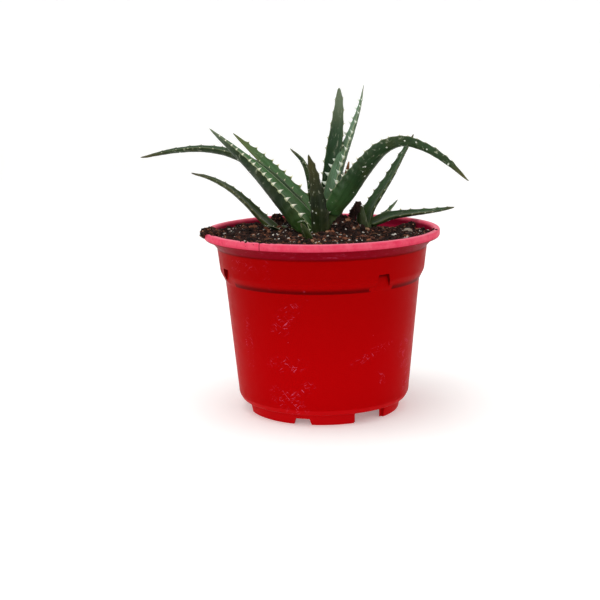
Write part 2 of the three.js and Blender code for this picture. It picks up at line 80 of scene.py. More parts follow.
def linear(colour: Colour) -> tuple[float, float, float, float]:
    """Turns a colour on the 0 to 255 display scale into linear light.

    Args:
        colour: red, green and blue as a paint chart gives them.

    Returns:
        Linear red, green, blue and an alpha of 1.
    """
    shares = [channel / 255 for channel in colour]
    light = [share / 12.92 if share <= 0.04045 else ((share + 0.055) / 1.055) ** 2.4 for share in shares]
    return (*light, 1.0)


def on_pot(radius: float, azimuth: float, height: float) -> Point:
    """Gives the point at a radius, an azimuth in degrees and a height round the pot."""
    turn = math.radians(azimuth)
    return (radius * math.sin(turn), -radius * math.cos(turn), height)


def degrees_off(azimuths: Any, marks: Sequence[float]) -> Any:
    """Gives how far azimuths are from the nearest of some marks, in degrees."""
    return np.min([np.abs((azimuths - mark + 180) % 360 - 180) for mark in marks], axis=0)


class Graph:
    """A node tree under construction, with short ways to add and link nodes."""

    def __init__(self, tree: bpy.types.NodeTree) -> None:
        """Wraps a node tree."""
        self.tree = tree

    def feed(self, socket: bpy.types.NodeSocket, value: Any) -> None:
        """Links a socket, or several sockets, into an input, or sets its value.

        Args:
            socket: the input.
            value: an output socket, a list of them, or a plain value.
        """
        sources = value if isinstance(value, list) else [value]
        if all(isinstance(source, bpy.types.NodeSocket) for source in sources):
            for source in sources:
                self.tree.links.new(source, socket)
        else:
            socket.default_value = value

    def add(self, kind: str, inputs: dict[str, Any] | None = None, **settings: Any) -> bpy.types.Node:
        """Adds a node.

        Args:
            kind: the node's type name.
            inputs: values or sockets for its inputs, by name.
            settings: the node's own properties.

        Returns:
            The new node.
        """
        node = self.tree.nodes.new(kind)
        for name, value in settings.items():
            setattr(node, name, value)
        for name, value in (inputs or {}).items():
            self.feed(next(s for s in node.inputs if s.enabled and s.name == name), value)
        return node

    @staticmethod
    def out(node: bpy.types.Node, name: str | None = None) -> bpy.types.NodeSocket:
        """Gives a node's first usable output, or the one with a name."""
        return next(s for s in node.outputs if s.enabled and name in (None, s.name))

    def math(self, operation: str, first: Any, second: Any = 0.0) -> bpy.types.NodeSocket:
        """Adds a maths node and gives its result."""
        node = self.tree.nodes.new("ShaderNodeMath")
        node.operation = operation
        self.feed(node.inputs[0], first)
        self.feed(node.inputs[1], second)
        return node.outputs[0]

    def times(self, first: Any, second: Any) -> bpy.types.NodeSocket:
        """Multiplies two numbers."""
        return self.math("MULTIPLY", first, second)

    def vector(self, operation: str, first: Any, second: Any = (0, 0, 0)) -> bpy.types.NodeSocket:
        """Adds a vector maths node and gives its vector."""
        node = self.tree.nodes.new("ShaderNodeVectorMath")
        node.operation = operation
        self.feed(node.inputs[0], first)
        self.feed(node.inputs[1], second)
        return node.outputs[0]

    def scaled(self, vector: Any, scale: Any) -> bpy.types.NodeSocket:
        """Stretches a vector by another."""
        return self.vector("MULTIPLY", vector, scale)

    def moved(self, vector: Any, shift: Any) -> bpy.types.NodeSocket:
        """Adds one vector to another."""
        return self.vector("ADD", vector, shift)

    def ramp(self, value: Any, low: float, high: float, start: float = 0.0, end: float = 1.0) -> Any:
        """Eases a value from one range into another.

        Args:
            value: the socket to ease.
            low: where the ease starts.
            high: where it ends.
            start: the result at and below low.
            end: the result at and above high.

        Returns:
            The eased value's socket.
        """
        inputs = {"Value": value, "From Min": low, "From Max": high, "To Min": start, "To Max": end}
        return self.out(self.add("ShaderNodeMapRange", inputs, interpolation_type="SMOOTHSTEP"))

    def blend(self, share: Any, first: Any, second: Any, how: str = "MIX") -> bpy.types.NodeSocket:
        """Mixes two colours, given as sockets or on the display scale.

        Args:
            share: how much of the second colour shows.
            first: the colour below.
            second: the colour on top.
            how: the blend type.

        Returns:
            The mixed colour's socket.
        """
        node = self.tree.nodes.new("ShaderNodeMix")
        node.data_type = "RGBA"
        node.blend_type = how
        self.feed(self.inlet(node, "Factor"), share)
        for name, colour in (("A", first), ("B", second)):
            self.feed(self.inlet(node, name), linear(colour) if isinstance(colour, tuple) else colour)
        return self.out(node, "Result")

    def tint(self, colour: Any, mask: Any, share: float, other: Any, how: str = "MIX") -> Any:
        """Lays a share of another colour over a colour, where a mask shows."""
        return self.blend(self.times(mask, share), colour, other, how)

    @staticmethod
    def inlet(node: bpy.types.Node, name: str) -> bpy.types.NodeSocket:
        """Gives a node's usable input with a name."""
        return next(s for s in node.inputs if s.enabled and s.name == name)

    def attribute(self, name: str, part: str = "Fac") -> bpy.types.NodeSocket:
        """Reads a value that the mesh carries."""
        return self.out(self.add("ShaderNodeAttribute", attribute_name=name), part)

    def mark(self, geometry: Any, name: str, value: Any, domain: str = "POINT") -> bpy.types.NodeSocket:
        """Stores a number on a geometry under a name.

        Args:
            geometry: the socket of what gets the number.
            name: the attribute's name.
            value: the number, or its socket.
            domain: what each number belongs to.

        Returns:
            The marked geometry's socket.
        """
        inputs = {"Geometry": geometry, "Name": name, "Value": value}
        return self.out(self.add("GeometryNodeStoreNamedAttribute", inputs, data_type="FLOAT", domain=domain))

    def tube(self, line: Any, profile: Any, scale: Any = 1.0) -> bpy.types.NodeSocket:
        """Sweeps a profile along a line, closed at both ends."""
        inputs = {"Curve": line, "Profile Curve": profile, "Scale": scale, "Fill Caps": True}
        return self.out(self.add("GeometryNodeCurveToMesh", inputs))

    def bow(self, steps: int, start: Point, middle: Point, end: Point) -> bpy.types.NodeSocket:
        """Draws a bent line of a few steps."""
        inputs = {"Resolution": steps, "Start": start, "Middle": middle, "End": end}
        return self.out(self.add("GeometryNodeCurveQuadraticBezier", inputs))


def make_piece(
    name: str,
    points: np.ndarray,
    faces: list[Sequence[int]],
    values: dict[str, np.ndarray] | None = None,
) -> bpy.types.Object:
    """Builds a smooth-shaded mesh object, with its place in its mesh.

    Args:
        name: the piece's name.
        points: corners in millimetres.
        faces: corner numbers of each face.
        values: numbers or vectors that each corner carries, by name.

    Returns:
        The new object, linked into the scene.
    """
    mesh = bpy.data.meshes.new(name)
    mesh.from_pydata((np.asarray(points) * MM).tolist(), [], faces)
    for key, data in (values or {}).items():
        kind, field_name = ("FLOAT_VECTOR", "vector") if data.ndim == 2 else ("FLOAT", "value")
        attribute = mesh.attributes.new(key, kind, "POINT")
        attribute.data.foreach_set(field_name, np.ascontiguousarray(data, dtype=np.float32).ravel())
    mesh.shade_smooth()
    mesh.update()
    if enclosed(mesh) < 0:
        mesh.flip_normals()
    piece = bpy.data.objects.new(name, mesh)
    bpy.context.scene.collection.objects.link(piece)
    return piece


def enclosed(mesh: bpy.types.Mesh) -> float:
    """Gives the volume that a mesh encloses, which is negative if it is inside out."""
    mesh.calc_loop_triangles()
    corners = np.empty(len(mesh.vertices) * 3, dtype=np.float32)
    mesh.vertices.foreach_get("co", corners)
    order = np.empty(len(mesh.loop_triangles) * 3, dtype=np.int32)
    mesh.loop_triangles.foreach_get("vertices", order)
    a, b, c = np.moveaxis(corners.reshape(-1, 3)[order.reshape(-1, 3)], 1, 0)
    return float(np.einsum("ij,ij->i", a, np.cross(b, c)).sum() / 6)


def settled(piece: bpy.types.Object) -> bpy.types.Object:
    """Turns what a piece's modifiers make into its plain mesh, and removes them."""
    graph = bpy.context.evaluated_depsgraph_get()
    shaped = piece.evaluated_get(graph)
    mesh = bpy.data.meshes.new_from_object(shaped, preserve_all_data_layers=True, depsgraph=graph)
    piece.modifiers.clear()
    piece.data = mesh
    mesh.name = piece.name
    return piece


def place_piece(piece: bpy.types.Object, slot: Slot, *nodes: str) -> None:
    """Hands a finished piece over to the frame and reports it.

    Args:
        piece: the finished object.
        slot: the record's material slot that its finish belongs to; it is not used.
        nodes: the frame's nodes that it stands for.
    """
    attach(piece, BODY)
    if nodes:
        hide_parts(*nodes)
    LOG.info("%s: %d faces for %s", piece.name, len(piece.data.polygons), ", ".join(nodes) or "no node")


def tube_faces(rings: int, sides: int) -> list[Sequence[int]]:
    """Joins rings of corners into a closed skin, with one more corner before the first and after the last.

    Args:
        rings: how many rings there are.
        sides: how many corners each has.

    Returns:
        The faces, where corner 0 is the start and the last corner is the end.
    """
    faces: list[Sequence[int]] = []
    last = rings * sides + 1
    for side in range(sides):
        after = (side + 1) % sides
        faces.append((0, 1 + after, 1 + side))
        for ring in range(rings - 1):
            low, high = 1 + ring * sides, 1 + (ring + 1) * sides
            faces.append((low + side, low + after, high + after, high + side))
        top = 1 + (rings - 1) * sides
        faces.append((top + side, top + after, last))
    return faces


def bumps(points: np.ndarray, scale: float, seed: float) -> np.ndarray:
    """Gives smooth three-dimensional noise at each point.

    Args:
        points: places in millimetres.
        scale: how many bumps there are in a millimetre.
        seed: moves the pattern.

    Returns:
        One vector for each point, each part between about -1 and 1.
    """
    noise.seed_set(NOISE_SEED)
    shift = Vector((seed, 1.7 * seed, -seed))
    return np.array([noise.noise_vector(Vector(point) * scale + shift) for point in points])


class Spine:
    """A smooth line through given points, walked by its length."""

    FINE = 40

    def __init__(self, points: Sequence[Point]) -> None:
        """Samples the line through the points, in millimetres."""
        knots = np.array(points, dtype=float)
        knots = np.vstack([2 * knots[0] - knots[1], knots, 2 * knots[-1] - knots[-2]])
        pieces = [self._span(*knots[i : i + 4]) for i in range(len(knots) - 3)]
        self.line = np.vstack([*pieces, knots[-2]])
        steps = np.linalg.norm(np.diff(self.line, axis=0), axis=1)
        self.walked = np.concatenate([[0.0], np.cumsum(steps)])
        self.length = float(self.walked[-1])
        self.slope = np.gradient(self.line, self.walked, axis=0)

    def _span(self, before: np.ndarray, start: np.ndarray, end: np.ndarray, after: np.ndarray) -> np.ndarray:
        """Samples one stretch of the centripetal curve between two points."""
        chords = (start - before, end - start, after - end)
        gaps = [math.sqrt(float(np.linalg.norm(chord))) for chord in chords]
        out = (start - before) / gaps[0] - (end - before) / (gaps[0] + gaps[1]) + (end - start) / gaps[1]
        into = (end - start) / gaps[1] - (after - start) / (gaps[1] + gaps[2]) + (after - end) / gaps[2]
        out, into = out * gaps[1], into * gaps[1]
        t = np.linspace(0, 1, self.FINE, endpoint=False)[:, None]
        cubic = 2 * start - 2 * end + out + into
        square = -3 * start + 3 * end - 2 * out - into
        return start + out * t + square * t**2 + cubic * t**3

    def at(self, shares: np.ndarray) -> tuple[np.ndarray, np.ndarray]:
        """Walks the line.

        Args:
            shares: how far along to go, from 0 to 1.

        Returns:
            The places and the directions there.
        """
        where = np.asarray(shares) * self.length
        place, along = (
            np.stack([np.interp(where, self.walked, data[:, axis]) for axis in range(3)], axis=-1)
            for data in (self.line, self.slope)
        )
        return place, along / np.linalg.norm(along, axis=-1, keepdims=True)


def growing_tree(name: str, sockets: dict[str, tuple[str, Any]]) -> tuple[Graph, dict[str, Any]]:
    """Starts a geometry tree with named inputs.

    Args:
        name: the tree's name.
        sockets: each input's socket type and first value, by name.

    Returns:
        The tree to fill and its inputs' sockets by name, with the mesh under Geometry.
    """
    tree = bpy.data.node_groups.new(name, "GeometryNodeTree")
    tree.interface.new_socket("Geometry", in_out="INPUT", socket_type="NodeSocketGeometry")
    for key, (kind, value) in sockets.items():
        socket = tree.interface.new_socket(key, in_out="INPUT", socket_type=kind)
        if value is not None:
            socket.default_value = value
    tree.interface.new_socket("Geometry", in_out="OUTPUT", socket_type="NodeSocketGeometry")
    entry = tree.nodes.new("NodeGroupInput")
    return Graph(tree), {socket.name: socket for socket in entry.outputs if socket.name}


def end_tree(graph: Graph, parts: list[Any], material: Any) -> None:
    """Realises and dresses what a tree made, and sends it out.

    Args:
        graph: the tree.
        parts: geometry sockets to join.
        material: the socket that gives the material.
    """
    joined = graph.out(graph.add("GeometryNodeJoinGeometry", {"Geometry": parts}))
    whole = graph.out(graph.add("GeometryNodeRealizeInstances", {"Geometry": joined}))
    dressed = graph.out(graph.add("GeometryNodeSetMaterial", {"Geometry": whole, "Material": material}))
    exit_node = graph.tree.nodes.new("NodeGroupOutput")
    graph.tree.links.new(dressed, exit_node.inputs["Geometry"])


def grow(piece: bpy.types.Object, graph: Graph, **values: Any) -> bpy.types.Object:
    """Runs a geometry tree on a piece and keeps the result as its mesh.

    Args:
        piece: the object to grow on.
        graph: the tree.
        values: what its named inputs get, with _ for a space.

    Returns:
        The same object, with plain mesh.
    """
    modifier = piece.modifiers.new(graph.tree.name, "NODES")
    modifier.node_group = graph.tree
    for item in graph.tree.interface.items_tree:
        key = item.name.lower().replace(" ", "_")
        if item.in_out == "INPUT" and key in values:
            modifier[item.identifier] = values[key]
    return settled(piece)


class Effects:
    """Shader node groups that several finishes use, each built once."""

    _built: dict[str, bpy.types.NodeTree] = {}

    @classmethod
    def _start(cls, name: str, numbers: dict[str, float]) -> tuple[Graph, dict, Any] | None:
        """Starts a group from a Vector and named numbers to a Mask, or gives nothing if it is built."""
        if name in cls._built:
            return None
        tree = bpy.data.node_groups.new(name, "ShaderNodeTree")
        tree.interface.new_socket("Vector", in_out="INPUT", socket_type="NodeSocketVector")
        for key, value in numbers.items():
            socket = tree.interface.new_socket(key, in_out="INPUT", socket_type="NodeSocketFloat")
            socket.default_value = value
        tree.interface.new_socket("Mask", in_out="OUTPUT", socket_type="NodeSocketFloat")
        cls._built[name] = tree
        entry, ending = tree.nodes.new("NodeGroupInput"), tree.nodes.new("NodeGroupOutput")
        return Graph(tree), {socket.name: socket for socket in entry.outputs if socket.name}, ending

    @classmethod
    def _place(cls, graph: Graph, name: str, inputs: dict[str, Any]) -> bpy.types.Node:
        """Puts a built group into a material with its own values."""
        node = graph.tree.nodes.new("ShaderNodeGroup")
        node.node_tree = cls._built[name]
        for key, value in inputs.items():
            graph.feed(node.inputs[key], value)
        return node

    @classmethod
    def cloud(
        cls, graph: Graph, vector: Any, size: float, low: float, high: float, detail: float = 4.0
    ) -> Any:
        """Adds soft uneven patches.

        Args:
            graph: the material to add to.
            vector: coordinates in millimetres.
            size: a patch's width in millimetres.
            low: the noise below which nothing shows.
            high: the noise above which all shows.
            detail: how ragged the patches are.

        Returns:
            The patches' mask.
        """
        made = cls._start("Cloud", {"Size": 1.0, "Low": 0.3, "High": 0.7, "Detail": 4.0})
        if made:
            inner, sockets, ending = made
            scale = inner.math("DIVIDE", 1.0, sockets["Size"])
            noisy = {"Vector": sockets["Vector"], "Scale": scale, "Roughness": 0.6}
            noisy["Detail"] = sockets["Detail"]
            mask = inner.ramp(inner.out(inner.add("ShaderNodeTexNoise", noisy), "Fac"), 0.0, 1.0)
            span = mask.node
            inner.feed(span.inputs["From Min"], sockets["Low"])
            inner.feed(span.inputs["From Max"], sockets["High"])
            inner.feed(ending.inputs["Mask"], mask)
        inputs = {"Vector": vector, "Size": size, "Low": low, "High": high, "Detail": detail}
        return cls._place(graph, "Cloud", inputs).outputs["Mask"]

    @classmethod
    def specks(cls, graph: Graph, vector: Any, spacing: float, share: float, radius: float) -> Any:
        """Adds small scattered dots.

        Args:
            graph: the material to add to.
            vector: coordinates in millimetres.
            spacing: the width of the cell that each dot may lie in.
            share: how many of the cells hold a dot.
            radius: a dot's radius as a share of its cell.

        Returns:
            The dots' mask.
        """
        made = cls._start("Specks", {"Spacing": 1.0, "Share": 0.3, "Radius": 0.2})
        if made:
            inner, sockets, ending = made
            scale = inner.math("DIVIDE", 1.0, sockets["Spacing"])
            cells = inner.add("ShaderNodeTexVoronoi", {"Vector": sockets["Vector"], "Scale": scale})
            chosen = inner.math("LESS_THAN", inner.out(cells, "Color"), sockets["Share"])
            near = inner.ramp(inner.out(cells, "Distance"), 0.0, 1.0, 1.0, 0.0)
            inner.feed(near.node.inputs["From Min"], inner.times(sockets["Radius"], 0.5))
            inner.feed(near.node.inputs["From Max"], sockets["Radius"])
            inner.feed(ending.inputs["Mask"], inner.times(near, chosen))
        inputs = {"Vector": vector, "Spacing": spacing, "Share": share, "Radius": radius}
        return cls._place(graph, "Specks", inputs).outputs["Mask"]


@dataclass(frozen=True)
class Patches:
    """Soft uneven patches: their width in millimetres, the noise they fade in between, and their shift."""

    size: float
    low: float
    high: float
    shift: Point | None = None
    detail: float = 4.0

    def mask(self, graph: Graph, vector: Any) -> Any:
        """Adds the patches' mask."""
        where = graph.moved(vector, self.shift) if self.shift else vector
        return Effects.cloud(graph, where, self.size, self.low, self.high, self.detail)


class Dressing:
    """A material under construction: its nodes, its shader and its coordinates in millimetres."""

    def __init__(self, name: str, **shader: Any) -> None:
        """Starts a material.

        Args:
            name: the finish's name.
            shader: uniform values of the shader's own sockets, with _ for a space.
        """
        self.material = bpy.data.materials.new(name)
        self.material.use_nodes = True
        self.graph = Graph(self.material.node_tree)
        self.shader = self.material.node_tree.nodes["Principled BSDF"]
        for key, value in shader.items():
            self.shader.inputs[key.replace("_", " ")].default_value = value
        texture = self.graph.tree.nodes.new("ShaderNodeTexCoord")
        self.place = self.graph.scaled(texture.outputs["Object"], (1 / MM,) * 3)

    def finish(self, colour: Any, roughness: Any, height: Any, distance: float) -> bpy.types.Material:
        """Links the colour, the roughness and the relief.

        Args:
            colour: the base colour's socket.
            roughness: the roughness's socket.
            height: the relief's socket, from 0 to 1.
            distance: the relief's depth in millimetres.

        Returns:
            The finished material.
        """
        self.graph.feed(self.shader.inputs["Base Color"], colour)
        self.graph.feed(self.shader.inputs["Roughness"], roughness)
        relief = {"Height": height, "Distance": distance * MM, "Strength": 1.0}
        bump = self.graph.add("ShaderNodeBump", relief)
        self.graph.feed(self.shader.inputs["Normal"], bump.outputs["Normal"])
        return self.material


@dataclass(frozen=True)
class LeafFinish:
    """The skin of a leaf: its greens from base to tip on each face, and its marks. The back is darker than
    the channel, partly its own colour and partly painted shade on the face turned from the light.
    """

    name: str
    back: Colour
    channel: Colour
    base: Colour
    tip: Colour
    spot: Colour = (206, 212, 196)
    rim: Colour = (150, 160, 118)
    spine: Colour = (244, 242, 222)
    bloom: Colour = (108, 122, 104)
    olive: Colour = (66, 66, 24)
    wax: float = 0.3
    scraped: float = 0.6
    tip_from: float = 0.84

    GLOSS = 0.16
    STRETCH = (1.0, 0.09, 1.0)
    SCRAPE_STRETCH = (1.0, 0.35, 1.0)
    STREAKS = Patches(1.3, 0.3, 0.75)
    BLOOM = Patches(1.7, 0.5, 0.8, (7.0, 3.0, 2.0))
    OLIVES = Patches(8.0, 0.45, 0.75)
    BLOTCHES = Patches(2.4, 0.55, 0.8, (3.0, 9.0, 1.0))
    SCRAPES = Patches(1.1, 0.57, 0.72, (1.0, 2.0, 8.0))
    GRAIN = Patches(0.5, 0.2, 0.8)
    STREAK_SHADE: ClassVar[Colour] = (120, 132, 96)
    BLOTCH_SHADE: ClassVar[Colour] = (24, 34, 18)
    DUST_SHADE: ClassVar[Colour] = (176, 182, 160)
    SCRAPE_SHADE: ClassVar[Colour] = (168, 172, 146)
    SPINE_END: ClassVar[Colour] = (132, 84, 46)
    RELIEF = 0.09

    def material(self) -> bpy.types.Material:
        """Builds the skin's material."""
        dress = Dressing(self.name, Specular_IOR_Level=self.GLOSS)
        graph = dress.graph
        along, flat = graph.attribute("along"), graph.attribute("flat", "Vector")
        streaky = graph.scaled(flat, self.STRETCH)
        streaks = self.STREAKS.mask(graph, streaky)
        # The back's darker green is partly painted shade on the face turned from the light.
        colour = graph.blend(graph.attribute("face"), self.back, self.channel)
        colour = graph.blend(graph.ramp(along, 0.28, 0.0, 0.0, 0.7), colour, self.base)
        colour = graph.tint(colour, streaks, 0.5, self.STREAK_SHADE, "MULTIPLY")
        colour = graph.tint(colour, self.BLOOM.mask(graph, streaky), self.wax, self.bloom)
        colour = graph.tint(colour, self.OLIVES.mask(graph, flat), 0.4, self.olive)
        colour = graph.tint(colour, self.BLOTCHES.mask(graph, flat), 0.35, self.BLOTCH_SHADE)
        colour = graph.tint(colour, Effects.specks(graph, flat, 1.5, 0.22, 0.13), 0.6, self.DUST_SHADE)
        scrapes = self.SCRAPES.mask(graph, graph.scaled(flat, self.SCRAPE_STRETCH))
        scrapes = graph.times(scrapes, graph.ramp(along, 0.15, 0.7, 0.1, 0.85))
        colour = graph.tint(colour, scrapes, self.scraped, self.SCRAPE_SHADE)
        colour = graph.tint(colour, graph.ramp(along, self.tip_from, 1.0), 0.9, self.tip)
        colour = self._marked(graph, colour, along)
        relief = graph.math("ADD", graph.times(self.GRAIN.mask(graph, flat), 0.4), streaks)
        return dress.finish(colour, graph.ramp(streaks, 0.0, 1.0, 0.34, 0.52), relief, self.RELIEF)

    def _marked(self, graph: Graph, colour: Any, along: Any) -> Any:
        """Adds the pale margins, the spots and the teeth to the greens."""
        edge = graph.ramp(graph.attribute("margin"), 0.42, 0.1)
        edge = graph.times(edge, graph.ramp(along, 0.95, 0.5, 0.15, 0.75))
        colour = graph.blend(edge, colour, self.rim)
        colour = graph.blend(graph.attribute("wart"), colour, self.spot)
        tooth = graph.attribute("tooth")
        colour = graph.blend(graph.ramp(tooth, 0.04, 0.32), colour, self.spine)
        return graph.blend(graph.ramp(tooth, 0.86, 1.0, 0.0, 0.6), colour, self.SPINE_END)


@dataclass(frozen=True)
class Leaf:
    """One leaf: a channelled blade along a spine, with hooked teeth on its margins and pale spots.

    The face is the direction that the channelled side looks in, and teeth is the room between two
    teeth. A tooth leans from the side towards the face, hooks towards the tip, and stands on a
    knob of the margin. The margins are -1 and 1, for the two sides that may have teeth.
    """

    name: str
    spine: tuple[Point, ...]
    width: float
    thick: float
    taper: float
    face: Point
    teeth: float
    finish: LeafFinish
    spots: int = 14
    tooth_size: float = 1.0
    lean: float = 0.53
    hook: float = 1.0
    knob: float = 0.6
    margins: tuple[int, ...] = (-1, 1)

    FILLED = 0.72
    FILL = 2.4
    THIN = 0.7
    LIFT = 0.25
    CHANNEL = 0.3
    ROUND = 0.8
    FINEST = 0.4
    BUTT = 0.12
    STEP = 0.75
    OUTER = 25
    INNER = 17
    EDGE = 0.25
    RELIEF = 0.1
    RELIEF_SCALE = 0.35
    KNOB_SPREAD = 1.3
    KNOB_FOCUS = 8
    TOOTHED = 0.93
    TOOTH_FALL = 0.65
    FULL_TOOTH_WIDTH = 9
    FULL_SPOT_WIDTH = 8
    SPOTS_ALONG = (0.08, 0.88)
    SPOTS_ACROSS = (0.14, 0.86)
    SPOT_SIZES = (0.24, 0.45)
    FACE_GAP = 40.0

    def sizes(self, t: np.ndarray) -> tuple[np.ndarray, np.ndarray]:
        """Gives the half width and the thickness at shares of the length."""
        share = np.minimum(1, self.FILLED + self.FILL * t) * (1 - t) ** self.taper
        return self.width / 2 * share, np.maximum(self.thick * share**self.THIN, self.FINEST)

    def frames(self, t: np.ndarray) -> tuple[np.ndarray, ...]:
        """Gives the place, the direction, the face and the side at shares of the length."""
        place, along = Spine(self.spine).at(t)
        face = np.array(self.face, dtype=float) - (along @ np.array(self.face))[:, None] * along
        face /= np.linalg.norm(face, axis=1, keepdims=True)
        return place, along, face, np.cross(along, face)

    @staticmethod
    def _draws(state: int) -> Iterator[float]:
        """Draws numbers from 0 to 1 by the minimal standard rule."""
        factor, limit = 48271, 2147483647
        while True:
            state = state * factor % limit
            yield state / limit

    def tooth_shares(self) -> dict[int, list[float]]:
        """Draws where the teeth stand along each margin, as shares of the length."""
        if not self.teeth:
            return {}
        draw = self._draws(17 + round(self.width * 10))
        length = Spine(self.spine).length
        shares: dict[int, list[float]] = {}
        for sign in (-1, 1):
            shares[sign] = []
            place = self.teeth * (2 + next(draw))
            while place < self.TOOTHED * length:
                shares[sign].append(place / length)
                place += self.teeth * (0.75 + 0.5 * next(draw))
        return {sign: shares[sign] for sign in self.margins}

    def blade(self) -> bpy.types.Object:
        """Builds the blade, with the places of its teeth and spots marked on it."""
        length = Spine(self.spine).length
        count = max(24, round(length / self.STEP))
        t = np.linspace(0, 1, count, endpoint=False)
        place, along, face, side = self.frames(t)
        half, belly = self.sizes(t)
        front = self.LIFT * belly
        channel = np.maximum(np.minimum(self.CHANNEL * half, belly - 0.8), 0)
        angle = np.linspace(0, math.pi, self.OUTER)
        inner = np.linspace(1, -1, self.INNER + 2)[1:-1]
        across = np.concatenate([-np.cos(angle), inner])
        outer_up = -(np.sin(angle) ** self.ROUND)[None, :] * (belly - self.EDGE)[:, None] - self.EDGE
        inner_up = -channel[:, None] * (1 - inner**2) - self.EDGE * np.abs(inner) ** 16
        up = front[:, None] + np.concatenate([outer_up, inner_up], axis=1)
        swell = {sign: np.zeros(count) for sign in (-1, 1)}
        for sign, shares in self.tooth_shares().items():
            for share in shares:
                swell[sign] += self.knob * np.exp(-(((t - share) * length / self.KNOB_SPREAD) ** 2))
        outward = np.where(across < 0, -swell[-1][:, None], swell[1][:, None])
        reach = half[:, None] * across + outward * np.abs(across) ** self.KNOB_FOCUS
        rings = place[:, None, :] + reach[..., None] * side[:, None, :] + up[..., None] * face[:, None, :]
        sides = len(across)
        ends = Spine(self.spine).at(np.array([0.0, 1.0]))
        start = ends[0][0] - self.BUTT * self.width * ends[1][0]
        points = np.vstack([start, rings.reshape(-1, 3), ends[0][1]])
        points[1:-1] += self.RELIEF * bumps(points[1:-1], self.RELIEF_SCALE, self.width)
        flat = np.stack(
            [
                reach + np.where(np.arange(sides) < self.OUTER, 0, self.FACE_GAP)[None, :],
                np.broadcast_to((t * length)[:, None], reach.shape),
                np.full(reach.shape, self.width * 3.1 + self.face[0]),
            ],
            axis=-1,
        )
        values = {
            "along": np.repeat(t, sides),
            "face": np.tile((np.arange(sides) >= self.OUTER).astype(float), count),
            "margin": self.from_margin(reach, up).ravel(),
            "flat": flat.reshape(-1, 3),
        }
        values.update(self.marks(t, sides, along, face, side))
        values = {key: self.capped(data, key) for key, data in values.items()}
        return make_piece(f"{self.name}_skin", points, tube_faces(count, sides), values)

    def from_margin(self, reach: np.ndarray, up: np.ndarray) -> np.ndarray:
        """Measures how far each corner lies from the nearer margin, over the skin."""
        steps = np.hypot(np.diff(reach, axis=1, append=reach[:, :1]), np.diff(up, axis=1, append=up[:, :1]))
        walked = np.cumsum(steps, axis=1) - steps
        other, whole = walked[:, self.OUTER - 1, None], steps.sum(axis=1, keepdims=True)
        return np.minimum.reduce([walked, np.abs(walked - other), whole - walked])

    @staticmethod
    def capped(data: np.ndarray, key: str) -> np.ndarray:
        """Adds the first and last corners' values to those of the rings."""
        quiet = key.startswith(("tooth", "spot"))
        first, last = (np.zeros_like(data[0]),) * 2 if quiet else (data[0], data[-1])
        return np.concatenate([[first], data, [last]])

    def marks(self, t: np.ndarray, sides: int, along: np.ndarray, face: np.ndarray, side: np.ndarray) -> dict:
        """Marks the corners that teeth and spots grow from.

        Args:
            t: the rings' shares of the length.
            sides: how many corners a ring has.
            along: the blade's direction at each ring.
            face: where the channelled side looks at each ring.
            side: the direction across the blade at each ring.

        Returns:
            The teeth's sizes and directions and the spots' sizes, for each corner.
        """
        size = np.zeros((len(t), sides))
        outward = np.zeros((len(t), sides, 3))
        spot = np.zeros((len(t), sides))
        fullness = min(1, self.width / self.FULL_TOOTH_WIDTH)
        for sign, shares in self.tooth_shares().items():
            corner = 0 if sign < 0 else self.OUTER - 1
            for share in shares:
                ring = int(np.argmin(np.abs(t - share)))
                size[ring, corner] = (1 - self.TOOTH_FALL * share) * fullness * self.tooth_size
                outward[ring, corner] = (1 - self.lean) * sign * side[ring] + self.lean * face[ring]
        draw = random.Random(round(self.width * 100))
        for _ in range(self.spots):
            ring = int(len(t) * draw.uniform(*self.SPOTS_ALONG))
            corner = round(self.OUTER * draw.uniform(*self.SPOTS_ACROSS))
            spot[ring, corner] = draw.uniform(*self.SPOT_SIZES) * min(1, self.width / self.FULL_SPOT_WIDTH)
        return {
            "tooth_size": size.ravel(),
            "tooth_out": outward.reshape(-1, 3),
            "tooth_along": np.repeat(self.hook * along, sides, axis=0),
            "spot_size": spot.ravel(),
        }


